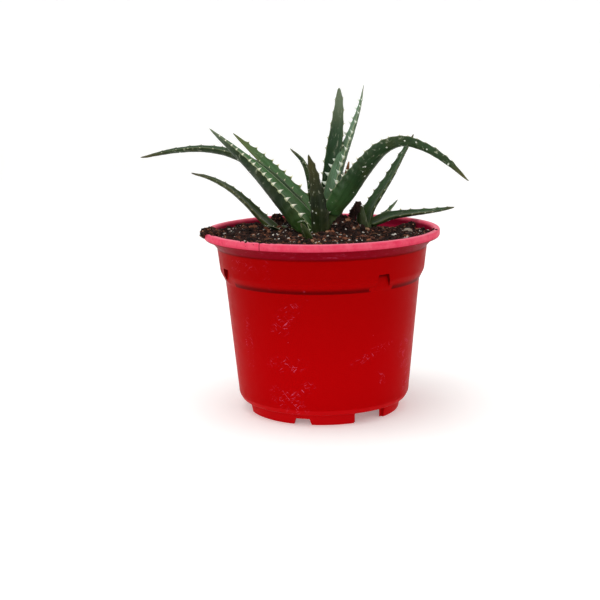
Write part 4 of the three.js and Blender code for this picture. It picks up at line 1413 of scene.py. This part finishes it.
PEAT = PeatFinish("Damp Peat", (9, 5, 4), (44, 25, 19), (128, 80, 60))
BARK = PeatFinish("Bark Bits", (70, 36, 26), (138, 84, 60), (208, 168, 134))
FIBRE = PeatFinish("Root Fibres", (40, 22, 16), (78, 48, 34), (150, 112, 80))
STONE = PeatFinish("Pale Grit", (168, 162, 150), (206, 200, 190), (236, 232, 224), 0.75)
PEBBLE = PeatFinish("Grey Pebble", (112, 100, 88), (150, 138, 124), (178, 168, 154), 0.7)
CRUST = PeatFinish("Crusted Stub", (26, 16, 13), (44, 28, 23), (92, 64, 50))


def crumb_over(
    piece: bpy.types.Object, name: str, strewn: Graph, density: float, finish: PeatFinish, slot: Slot
) -> None:
    """Strews crumbs over a piece's skin, as a piece of their own.

    Args:
        piece: what they cling to.
        name: the crumbs' name.
        strewn: the tree that strews bits over a surface.
        density: how many there are in a square metre.
        finish: what they look like.
        slot: the record's material slot that they belong to.
    """
    bits = bpy.data.objects.new(name, piece.data.copy())
    bpy.context.scene.collection.objects.link(bits)
    Litter(name, density, 0.5, 1.5, 0.8, finish, slot, len(name)).strew(bits, strewn)


@dataclass(frozen=True)
class Stem:
    """A short stem that rings of radii run up."""

    name: str
    spine: tuple[Point, ...]
    radii: tuple[float, ...]
    finish: LeafFinish | PeatFinish
    slot: Slot = Slot.BRIGHT

    SIDES = 32
    RINGS = 28
    AROUND = 4
    CAP = 0.4
    ROUGH = 0.35
    ROUGH_SCALE = 0.5
    CRUMBS = 1400000.0

    def build(self, strewn: Graph) -> None:
        """Builds, dresses and places the stem, with crumbs on it if it is crusted.

        Args:
            strewn: the tree that strews bits over a surface.
        """
        t = np.linspace(0, 1, self.RINGS)
        place, along = Spine(self.spine).at(t)
        radius = np.interp(t * (len(self.radii) - 1), range(len(self.radii)), self.radii)
        angle = np.linspace(0, 2 * math.pi, self.SIDES, endpoint=False)
        ring = np.stack([np.cos(angle), np.sin(angle), np.zeros_like(angle)], axis=-1)
        rings = place[:, None, :] + radius[:, None, None] * ring[None]
        rise = np.array((0, 0, self.CAP))
        points = np.vstack([place[0] - rise * radius[0], rings.reshape(-1, 3), place[-1] + rise * radius[-1]])
        points += self.ROUGH * bumps(points, self.ROUGH_SCALE, radius[0])
        walked = np.repeat(t * Spine(self.spine).length, self.SIDES)
        flat = np.stack([np.tile(angle * self.AROUND, self.RINGS), walked, np.zeros_like(walked)], -1)
        even = {"along": 0.1, "tone": 0.5, "margin": 4.0}
        values = {key: np.full(len(points), value) for key, value in even.items()}
        values["flat"] = np.vstack([flat[0], flat, flat[-1]])
        piece = make_piece(f"{self.name}_skin", points, tube_faces(self.RINGS, self.SIDES), values)
        piece.data.materials.append(self.finish.material())
        place_piece(piece, self.slot, self.name)
        if isinstance(self.finish, PeatFinish):
            crumb_over(piece, f"{self.name}_crumbs", strewn, self.CRUMBS, self.finish, self.slot)


SHEATH = LeafFinish("Pale Leaf Bases", (60, 82, 40), (60, 82, 40), (84, 98, 56), (96, 88, 56), wax=0.3)

STEMS = (
    Stem("main_stem", ((3, 1, 78), (3.5, 1, 86), (4, 1, 92), (4.5, 1, 98), (4.5, 1.5, 102)),
         (3, 6.5, 8, 7.5, 4.5), SHEATH),
    Stem("left_offset_stem", ((-19, 16, 80), (-19.5, 16, 86), (-20, 16.5, 91.5)), (1.6, 3.4, 2.4), SHEATH),
    Stem("right_offset_stem", ((22, 17, 80), (22.5, 17, 86), (23.5, 19, 92.5)), (1.8, 4, 2.6), SHEATH),
    Stem("front_pup_stem", ((-5, -27, 80), (-5, -27, 86), (-5.5, -27.5, 91.5)), (1.4, 2.6, 1.8), SHEATH),
    Stem("dry_stub", ((14, 9, 86), (14.5, 9.5, 92), (15.5, 10, 96), (17, 10.5, 99.5), (18.5, 11, 102.5),
                      (19, 11, 104.5)),
         (4, 5, 3, 1.7, 2.4, 1.2), CRUST, Slot.PEAT),
)


@dataclass(frozen=True)
class Lump:
    """A clod, a chunk or a pebble: balls run together into one rough body."""

    name: str
    balls: tuple[tuple[float, ...], ...]
    finish: PeatFinish
    slot: Slot
    rough: float
    crumbs: float = 0.0
    flecks: float = 0.0

    VOXEL = 0.35
    COARSE = (0.45, 3.0)
    FINE = (1.2, 9.0)
    GRIT_SHARE = 6

    def build(self, strewn: Graph) -> None:
        """Builds, dresses and places the lump, with crumbs on its skin.

        Args:
            strewn: the tree that strews bits over a surface.
        """
        points: list[Any] = []
        faces: list[Sequence[int]] = []
        for x, y, z, *half in self.balls:
            ball = bpy.data.meshes.new("ball")
            mould = bmesh.new()
            bmesh.ops.create_icosphere(mould, subdivisions=4, radius=1)
            mould.to_mesh(ball)
            mould.free()
            first = len(points)
            points.extend(np.array(vertex.co) * half + (x, y, z) for vertex in ball.vertices)
            faces.extend(tuple(first + corner for corner in face.vertices) for face in ball.polygons)
            bpy.data.meshes.remove(ball)
        piece = make_piece(f"{self.name}_body", np.array(points), faces)
        skin = piece.modifiers.new("Skin", "REMESH")
        skin.mode, skin.voxel_size = "VOXEL", self.VOXEL * MM
        settled(piece)
        place = np.array([vertex.co for vertex in piece.data.vertices]) / MM
        place += self.rough * (bumps(place, *self.COARSE) + 0.5 * bumps(place, *self.FINE))
        piece.data.vertices.foreach_set("co", (place * MM).ravel())
        tone = piece.data.attributes.new("tone", "FLOAT", "POINT")
        tone.data.foreach_set("value", np.full(len(place), 0.5))
        piece.data.shade_smooth()
        piece.data.materials.clear()
        piece.data.materials.append(self.finish.material())
        place_piece(piece, self.slot, self.name)
        if self.crumbs:
            crumb_over(piece, f"{self.name}_crumbs", strewn, self.crumbs, self.finish, self.slot)
            crumb_over(piece, f"{self.name}_grit", strewn, self.crumbs / self.GRIT_SHARE, BARK, Slot.DRY)
        if self.flecks:
            crumb_over(piece, f"{self.name}_flecks", strewn, self.flecks, STONE, Slot.PEBBLE)


LUMPS = (
    Lump("clod_on_rim", ((-57.6, -15, 94.2, 2.3, 3.8, 1.4), (-55.2, -10, 94.0, 2.5, 3.4, 1.4),
                         (-53.6, -16, 92.9, 2.6, 3.4, 2.0), (-59.2, -12.5, 92.6, 1.5, 2.4, 2.1)),
         PEAT, Slot.PEAT, 0.4, 1500000.0, 130000.0),
    Lump("clod_at_back", ((-24, 36, 92.4, 3.2, 3.2, 3.8), (-21.5, 37, 91, 2.6, 2.6, 2.6),
                          (-26.5, 37, 91, 2.4, 2.4, 2.4)), PEAT, Slot.PEAT, 0.5, 1500000.0),
    Lump("bark_chunk", ((44, 20, 89.6, 4, 2.6, 2.2), (47, 21, 90.6, 2.4, 2, 2), (41.5, 21, 89, 2.6, 2, 1.6)),
         CRUST, Slot.PEAT, 0.4, 600000.0),
    Lump("pebble", ((44, 2, 90, 2.5, 2.2, 1.9),), PEBBLE, Slot.PEBBLE, 0.15),
)


@dataclass(frozen=True)
class Litter:
    """One kind of loose bit: how many lie in a square metre, their sizes, and what they look like."""

    name: str
    density: float
    smallest: float
    largest: float
    flatness: float
    finish: PeatFinish
    slot: Slot
    seed: int

    def strew(self, ground: bpy.types.Object, strewn: Graph) -> None:
        """Strews the bits over a ground that becomes their piece, and places them."""
        grow(ground, strewn, density=self.density, smallest=self.smallest * MM, largest=self.largest * MM,
             flatness=self.flatness, seed=self.seed, material=self.finish.material())
        place_piece(ground, self.slot)


LITTER = (
    Litter("soil_crumbs", 620000.0, 0.6, 1.7, 0.8, PEAT, Slot.PEAT, 3),
    Litter("soil_clumps", 75000.0, 1.6, 3.6, 0.8, PEAT, Slot.PEAT, 4),
    Litter("bark_bits", 34000.0, 0.8, 3.4, 0.6, BARK, Slot.DRY, 5),
    Litter("pale_grit", 46000.0, 0.4, 2.0, 0.8, STONE, Slot.PEBBLE, 6),
    Litter("rim_crumbs", 420000.0, 0.4, 1.4, 0.8, PEAT, Slot.PEAT, 7),
)


@dataclass
class SoilBed:
    """The peat in the pot: an uneven closed bed with crumbs, grit, bark bits and fibres on it.

    A mound is its place, its rise and its spread, and a wave is its count along X and along Y and
    its shift. Roughness is a scale, a seed and a height. A strip on the rim is its first and last
    azimuth, its step, and the radius and height of its near and its far edge.
    """

    height: float = 90.4
    fall_right: float = 0.012
    fall_back: float = 0.03
    mounds: tuple[tuple[float, float, float, float], ...] = (
        (40, 36, -2, 16), (12, -1, 5, 8), (10, -6, 5.0, 8.5), (-26, 25, 1.4, 10), (-8, -32, 0.8, 12),
    )
    waves: tuple[tuple[float, float, float], ...] = ((0.31, 0, 1.3), (0.4, 0.37, 0), (0.52, -0.41, 0))
    wave_height: float = 0.45
    wall: tuple[Span, ...] = (
        (6.9, 41.0), (8.95, 42.5), (67.75, 48.1), (72.85, 50.6), (84.6, 52.2), (88.8, 55.9), (92.2, 56.2),
    )
    rings: int = 90
    spokes: int = 200
    bottom: float = 7.2
    boss_inner: float = 48.6
    notches: tuple[float, ...] = (34.5, -66.0, 164.0)
    fibre_length: float = 6.0
    fibre_radius: float = 0.13
    fibre_seed: int = 9
    boss_half: float = 5.6
    boss_span: Span = (60.0, 79.0)
    levels: tuple[float, ...] = (8.95, 30.0, 60.0, 67.75, 72.85, 79.2, 84.6, 86.5)
    roughness: tuple[tuple[float, float, float], ...] = ((0.22, 5.0, 0.7), (0.7, 8.0, 0.35))
    rim_strips: tuple[tuple[float, float, float, Span, Span], ...] = (
        (-84, -66, 5, (56.6, 93.1), (59.4, 93.1)), (-42, -26, 5, (56.6, 93.1), (59.4, 93.1)),
        (70, 78, 5, (56.6, 93.1), (59.4, 93.1)), (-64, 60, 4, (55.8, 92.9), (57.1, 92.9)),
        (-38, -31, 7, (59.7, 90.4), (59.7, 93.2)),
    )

    def top(self, x: np.ndarray, y: np.ndarray) -> np.ndarray:
        """Gives the bed's height at places across the pot."""
        height = self.height - self.fall_back * y - self.fall_right * x
        for mound_x, mound_y, rise, spread in self.mounds:
            height = height + rise * np.exp(-((x - mound_x) ** 2 + (y - mound_y) ** 2) / spread**2)
        for along, across, shift in self.waves:
            height = height + self.wave_height * np.sin(along * x + across * y + shift)
        return height

    def disc(self) -> np.ndarray:
        """Lays out the top's corners, ring by ring from the rim inwards."""
        angle = np.linspace(0, 2 * math.pi, self.spokes, endpoint=False)
        heights, radii = zip(*self.wall)
        edge = np.full(self.spokes, 55.0)
        for _ in range(4):
            edge = np.interp(self.top(edge * np.sin(angle), -edge * np.cos(angle)), heights, radii)
        share = np.linspace(1, 0, self.rings, endpoint=False)[:, None]
        x, y = share * edge * np.sin(angle), -share * edge * np.cos(angle)
        flat = np.stack([x, y, self.top(x, y)], axis=-1)
        corners = flat.reshape(-1, 3)
        rough = sum(bumps(corners, scale, seed) * rise for scale, seed, rise in self.roughness)
        flat[..., 2] += rough[:, 2].reshape(x.shape) * np.minimum(1, (1 - share) * 12)
        return flat

    def bed(self) -> bpy.types.Object:
        """Builds the closed bed down to the pot's floor."""
        top = self.disc()
        heights, radii = zip(*self.wall)
        angle = np.linspace(0, 2 * math.pi, self.spokes, endpoint=False)
        off = degrees_off(np.degrees(angle), self.notches)
        boss = np.radians(off) * self.boss_inner < self.boss_half
        below = []
        for level in self.levels:
            radius = np.full(self.spokes, np.interp(level, heights, radii))
            if self.boss_span[0] < level < self.boss_span[1]:
                radius = np.where(boss, np.minimum(radius, self.boss_inner), radius)
            height = np.full(self.spokes, level)
            below.append(np.stack([radius * np.sin(angle), -radius * np.cos(angle), height], -1))
        rings = np.concatenate([np.array(below), top])
        middle = self.top(np.zeros(1), np.zeros(1))[0]
        points = np.vstack([(0, 0, self.bottom), rings.reshape(-1, 3), (0, 0, middle)])
        tone = np.full(len(points), 0.25)
        piece = make_piece("soil_bed", points, tube_faces(len(rings), self.spokes), {"tone": tone})
        piece.data.materials.append(PEAT.material())
        return piece

    def surface(self, name: str) -> bpy.types.Object:
        """Copies the bed's top alone, for things to lie on."""
        faces: list[Sequence[int]] = []
        for first in range(0, (self.rings - 1) * self.spokes, self.spokes):
            for spoke in range(self.spokes):
                after, inward = (spoke + 1) % self.spokes, first + self.spokes
                faces.append((first + spoke, first + after, inward + after, inward + spoke))
        return make_piece(name, self.disc().reshape(-1, 3), faces)

    def on_rim(self, name: str) -> bpy.types.Object:
        """Lays thin strips along the lip's top, for stray bits to lie on."""
        points: list[Point] = []
        faces: list[Sequence[int]] = []
        for start, end, step, near, far in self.rim_strips:
            for azimuth in np.arange(start, end, float(step)):
                faces.append(tuple(range(len(points), len(points) + 4)))
                for turn, (radius, height) in ((0, near), (step, near), (step, far), (0, far)):
                    points.append(on_pot(radius, azimuth + turn, height))
        return make_piece(name, np.array(points), faces)

    def build(self, strewn: Graph) -> None:
        """Builds the bed and scatters everything that lies on it.

        Args:
            strewn: the tree that strews bits over a surface.
        """
        place_piece(self.bed(), Slot.PEAT, "soil")
        for kind in LITTER:
            ground = self.on_rim if kind.name.startswith("rim") else self.surface
            kind.strew(ground(kind.name), strewn)
        threads = FibreTree().graph
        beds = (("root_fibres", self.surface, 8000.0), ("rim_fibres", self.on_rim, 9000.0))
        for name, ground, density in beds:
            fibres = grow(ground(name), threads, density=density, length=self.fibre_length * MM,
                          radius=self.fibre_radius, seed=self.fibre_seed, material=FIBRE.material())
            place_piece(fibres, Slot.DRY)


class StrewingTree:
    """What the geometry trees share that strew small shapes over a surface, each with its own tone."""

    def __init__(self, name: str, sockets: dict[str, tuple[str, Any]]) -> None:
        """Starts a tree with the shared inputs and its own.

        Args:
            name: the tree's name.
            sockets: its own inputs' socket types and first values, by name.
        """
        shared = {
            "Density": ("NodeSocketFloat", 1000.0),
            "Seed": ("NodeSocketInt", 1),
            "Material": ("NodeSocketMaterial", None),
        }
        self.graph, self.sockets = growing_tree(name, {**shared, **sockets})

    def _random(self, kind: str, low: Any, high: Any, shift: int = 0) -> Any:
        """Draws a seeded random value for each point, with the seed moved on for each shift."""
        seed = self.sockets["Seed"]
        if shift:
            moved = self.graph.add("FunctionNodeIntegerMath", {"Value": seed}, operation="ADD")
            moved.inputs[1].default_value = 10 * shift
            seed = self.graph.out(moved)
        inputs = {"Min": low, "Max": high, "Seed": seed}
        return self.graph.out(self.graph.add("FunctionNodeRandomValue", inputs, data_type=kind))

    def _strew(self, shapes: list[Any], pick: Any, turn: Any, scale: Any, tone: Any) -> None:
        """Puts shapes on random points and ends the tree.

        Args:
            shapes: the geometry to choose from.
            pick: which shape each point gets.
            turn: each one's angles.
            scale: each one's size.
            tone: how pale each one is.
        """
        graph, sockets = self.graph, self.sockets
        where = {"Mesh": sockets["Geometry"], "Density": sockets["Density"], "Seed": sockets["Seed"]}
        points = graph.add("GeometryNodeDistributePointsOnFaces", where)
        apart = [graph.add("GeometryNodeGeometryToInstance", {"Geometry": shape}) for shape in shapes]
        choice = graph.add("GeometryNodeJoinGeometry", {"Geometry": [graph.out(node) for node in apart]})
        inputs = {
            "Points": graph.out(points, "Points"),
            "Instance": graph.out(choice),
            "Pick Instance": True,
            "Instance Index": pick,
            "Rotation": graph.out(graph.add("FunctionNodeEulerToRotation", {"Euler": turn})),
            "Scale": scale,
        }
        placed = graph.out(graph.add("GeometryNodeInstanceOnPoints", inputs))
        end_tree(graph, [graph.mark(placed, "tone", tone, "INSTANCE")], sockets["Material"])


class ScatterTree(StrewingTree):
    """The geometry tree that strews rough bits over a surface."""

    VARIANTS = 4
    STRETCHES = ((0.7, 0.7, 0.7), (1.3, 1.3, 1.0))
    TURNS = ((-0.5, -0.5, 0.0), (0.5, 0.5, 6.28))

    def __init__(self) -> None:
        """Builds the tree."""
        own = {
            "Smallest": ("NodeSocketFloat", MM),
            "Largest": ("NodeSocketFloat", 2 * MM),
            "Flatness": ("NodeSocketFloat", 0.7),
        }
        super().__init__("Strewn Bits", own)
        graph, sockets = self.graph, self.sockets
        size = self._random("FLOAT", sockets["Smallest"], sockets["Largest"], 1)
        stretch = self._random("FLOAT_VECTOR", *self.STRETCHES, 2)
        turn = self._random("FLOAT_VECTOR", *self.TURNS, 3)
        pick = self._random("INT", 0, self.VARIANTS - 1, 4)
        flat = graph.add("ShaderNodeCombineXYZ", {"X": 1.0, "Y": 1.0, "Z": sockets["Flatness"]})
        scale = graph.scaled(graph.scaled(stretch, graph.out(flat)), size)
        self._strew(self._variants(), pick, turn, scale, self._random("FLOAT", 0.0, 1.0, 5))

    def _variants(self) -> list[Any]:
        """Makes a few lumps of different shapes to choose from."""
        graph = self.graph
        shapes = []
        for number in range(self.VARIANTS):
            ball = graph.add("GeometryNodeMeshIcoSphere", {"Radius": 0.5, "Subdivisions": 1})
            place = graph.out(graph.add("GeometryNodeInputPosition"))
            moved = graph.moved(place, (3.1 * number, 0, 1.3))
            wobble = graph.add("ShaderNodeTexNoise", {"Vector": moved, "Scale": 1.6, "Detail": 1.0})
            offset = graph.vector("SUBTRACT", graph.out(wobble, "Color"), (0.5, 0.5, 0.5))
            inputs = {"Geometry": graph.out(ball, "Mesh"), "Offset": offset}
            shapes.append(graph.out(graph.add("GeometryNodeSetPosition", inputs)))
        return shapes


class FibreTree(StrewingTree):
    """The geometry tree that strews thin bent root fibres over a surface."""

    BENDS = ((0.5, 0.25), (-0.35, 0.35), (0.2, 0.1))
    TURNS = ((-0.4, -0.3, 0), (0.4, 0.3, 6.28))
    LENGTHS = (0.5, 1.3)

    def __init__(self) -> None:
        """Builds the tree."""
        own = {"Length": ("NodeSocketFloat", 6 * MM), "Radius": ("NodeSocketFloat", 0.16)}
        super().__init__("Root Fibres", own)
        graph, sockets = self.graph, self.sockets
        shapes = []
        for bend, rise in self.BENDS:
            line = graph.bow(6, (-0.5, 0, -0.06), (0, bend, rise), (0.5, 0, -0.02))
            thin = graph.math("DIVIDE", graph.times(sockets["Radius"], MM), sockets["Length"])
            ring = graph.add("GeometryNodeCurvePrimitiveCircle", {"Resolution": 4, "Radius": thin})
            shapes.append(graph.tube(line, graph.out(ring)))
        turn = self._random("FLOAT_VECTOR", *self.TURNS)
        pick = self._random("INT", 0, len(shapes) - 1)
        share = self._random("FLOAT", *self.LENGTHS)
        self._strew(shapes, pick, turn, graph.times(share, sockets["Length"]), share)


@dataclass(frozen=True)
class Lamp:
    """A soft square light: where it hangs and what it looks at, its width, and its power in watts."""

    name: str
    place: Point
    aim: Point
    size: float
    power: float

    def hang(self) -> None:
        """Hangs the light in the scene."""
        data = bpy.data.lights.new(self.name, "AREA")
        data.size, data.energy = self.size * MM, self.power
        lamp = bpy.data.objects.new(self.name, data)
        lamp.location = Vector(self.place) * MM
        lamp.rotation_euler = (Vector(self.aim) - Vector(self.place)).to_track_quat("-Z", "Y").to_euler()
        bpy.context.scene.collection.objects.link(lamp)


@dataclass
class Studio:
    """The camera, the soft lights and the pale floor."""

    camera_place: Point = (0, -623.5, 177.6)
    pitch: float = 11.068
    yaw: float = -1.072
    roll: float = -1.031
    focal_pixels: float = 1231.18
    picture_pixels: float = 600.0
    sensor: float = 36.0
    floor_radius: float = 1300.0
    wall_height: float = 2600.0
    wall_bend: float = 500.0
    wall_sides: int = 96
    floor_glow: float = 0.23
    paint: Patches = Patches(60.0, 0.2, 0.8)
    room_light: float = 0.38
    white: tuple[float, float, float, float] = (1, 1, 1, 1)
    lamps: tuple[Lamp, ...] = (
        Lamp("overhead", (-150, -100, 1300), (0, 0, 90), 700, 6.0),
        Lamp("front_fill", (-450, -1000, 600), (0, 0, 80), 600, 1.1),
    )

    def camera(self) -> None:
        """Makes the camera from the photograph's fitted place and angles."""
        pitch, yaw, roll = (math.radians(angle) for angle in (self.pitch, self.yaw, self.roll))
        ahead = Vector((math.sin(yaw) * math.cos(pitch), math.cos(yaw) * math.cos(pitch), -math.sin(pitch)))
        right = Vector((math.cos(yaw), -math.sin(yaw), 0))
        up = right.cross(ahead)
        turned_right = math.cos(roll) * right + math.sin(roll) * up
        turned_up = -math.sin(roll) * right + math.cos(roll) * up
        data = bpy.data.cameras.new("camera")
        data.sensor_width = self.sensor
        data.lens = self.focal_pixels * self.sensor / self.picture_pixels
        data.clip_start, data.clip_end = 0.01, 20
        camera = bpy.data.objects.new("camera", data)
        turn = Matrix((turned_right, turned_up, -ahead)).transposed().to_4x4()
        camera.matrix_world = Matrix.Translation(Vector(self.camera_place) * MM) @ turn
        bpy.context.scene.collection.objects.link(camera)
        bpy.context.scene.camera = camera

    def floor(self) -> None:
        """Makes a pale floor that curves up into a round wall far behind."""
        bend, sides = self.wall_bend, self.wall_sides
        line = [(radius, 0.0) for radius in np.linspace(0, self.floor_radius, 12)[1:]]
        for angle in np.linspace(0, math.pi / 2, 12)[1:]:
            line.append((self.floor_radius + bend * math.sin(angle), bend * (1 - math.cos(angle))))
        line.append((self.floor_radius + bend, self.wall_height))
        points: list[Point] = [(0.0, 0.0, 0.0)]
        for radius, height in line:
            points.extend(on_pot(radius, 360 * side / sides, height) for side in range(sides))
        faces = [face for face in tube_faces(len(line), sides) if len(points) not in face]
        floor = make_piece("floor", np.array(points), faces)
        glow = {"Emission_Color": self.white, "Emission_Strength": self.floor_glow}
        dress = Dressing("Pale Floor", Specular_IOR_Level=0.1, **glow)
        graph = dress.graph
        patch = self.paint.mask(graph, dress.place)
        colour = graph.blend(graph.times(patch, 0.3), (243, 243, 242), (240, 240, 239))
        floor.data.materials.append(dress.finish(colour, graph.ramp(patch, 0, 1, 0.8, 0.9), patch, 0.02))

    def build(self) -> None:
        """Sets up the camera, the floor and the lights."""
        scene = bpy.context.scene
        scene.view_settings.view_transform = "Standard"
        world = bpy.data.worlds.new("soft room")
        world.use_nodes = True
        background = world.node_tree.nodes["Background"]
        background.inputs["Color"].default_value = self.white
        background.inputs["Strength"].default_value = self.room_light
        scene.world = world
        self.camera()
        self.floor()
        for lamp in self.lamps:
            lamp.hang()


def main() -> None:
    """Builds the aloe, its pot and the studio round the frame."""
    logging.basicConfig(level=logging.INFO, format="%(name)s: %(message)s")
    Studio().build()
    Pot().build()
    slots = {part["node"]: part["material_slot"] for part in frame["record"]["subparts"]}
    tree = LeafTree()
    skins = {finish.name: finish.material() for finish in dict.fromkeys(leaf.finish for leaf in LEAVES)}
    for leaf in LEAVES:
        piece = grow(leaf.blade(), tree.graph, material=skins[leaf.finish.name])
        place_piece(piece, Slot(slots[leaf.name]), leaf.name)
    strewn = ScatterTree().graph
    SoilBed().build(strewn)
    for stem in STEMS:
        stem.build(strewn)
    for lump in LUMPS:
        lump.build(strewn)


if __name__ == "__main__":
    main()
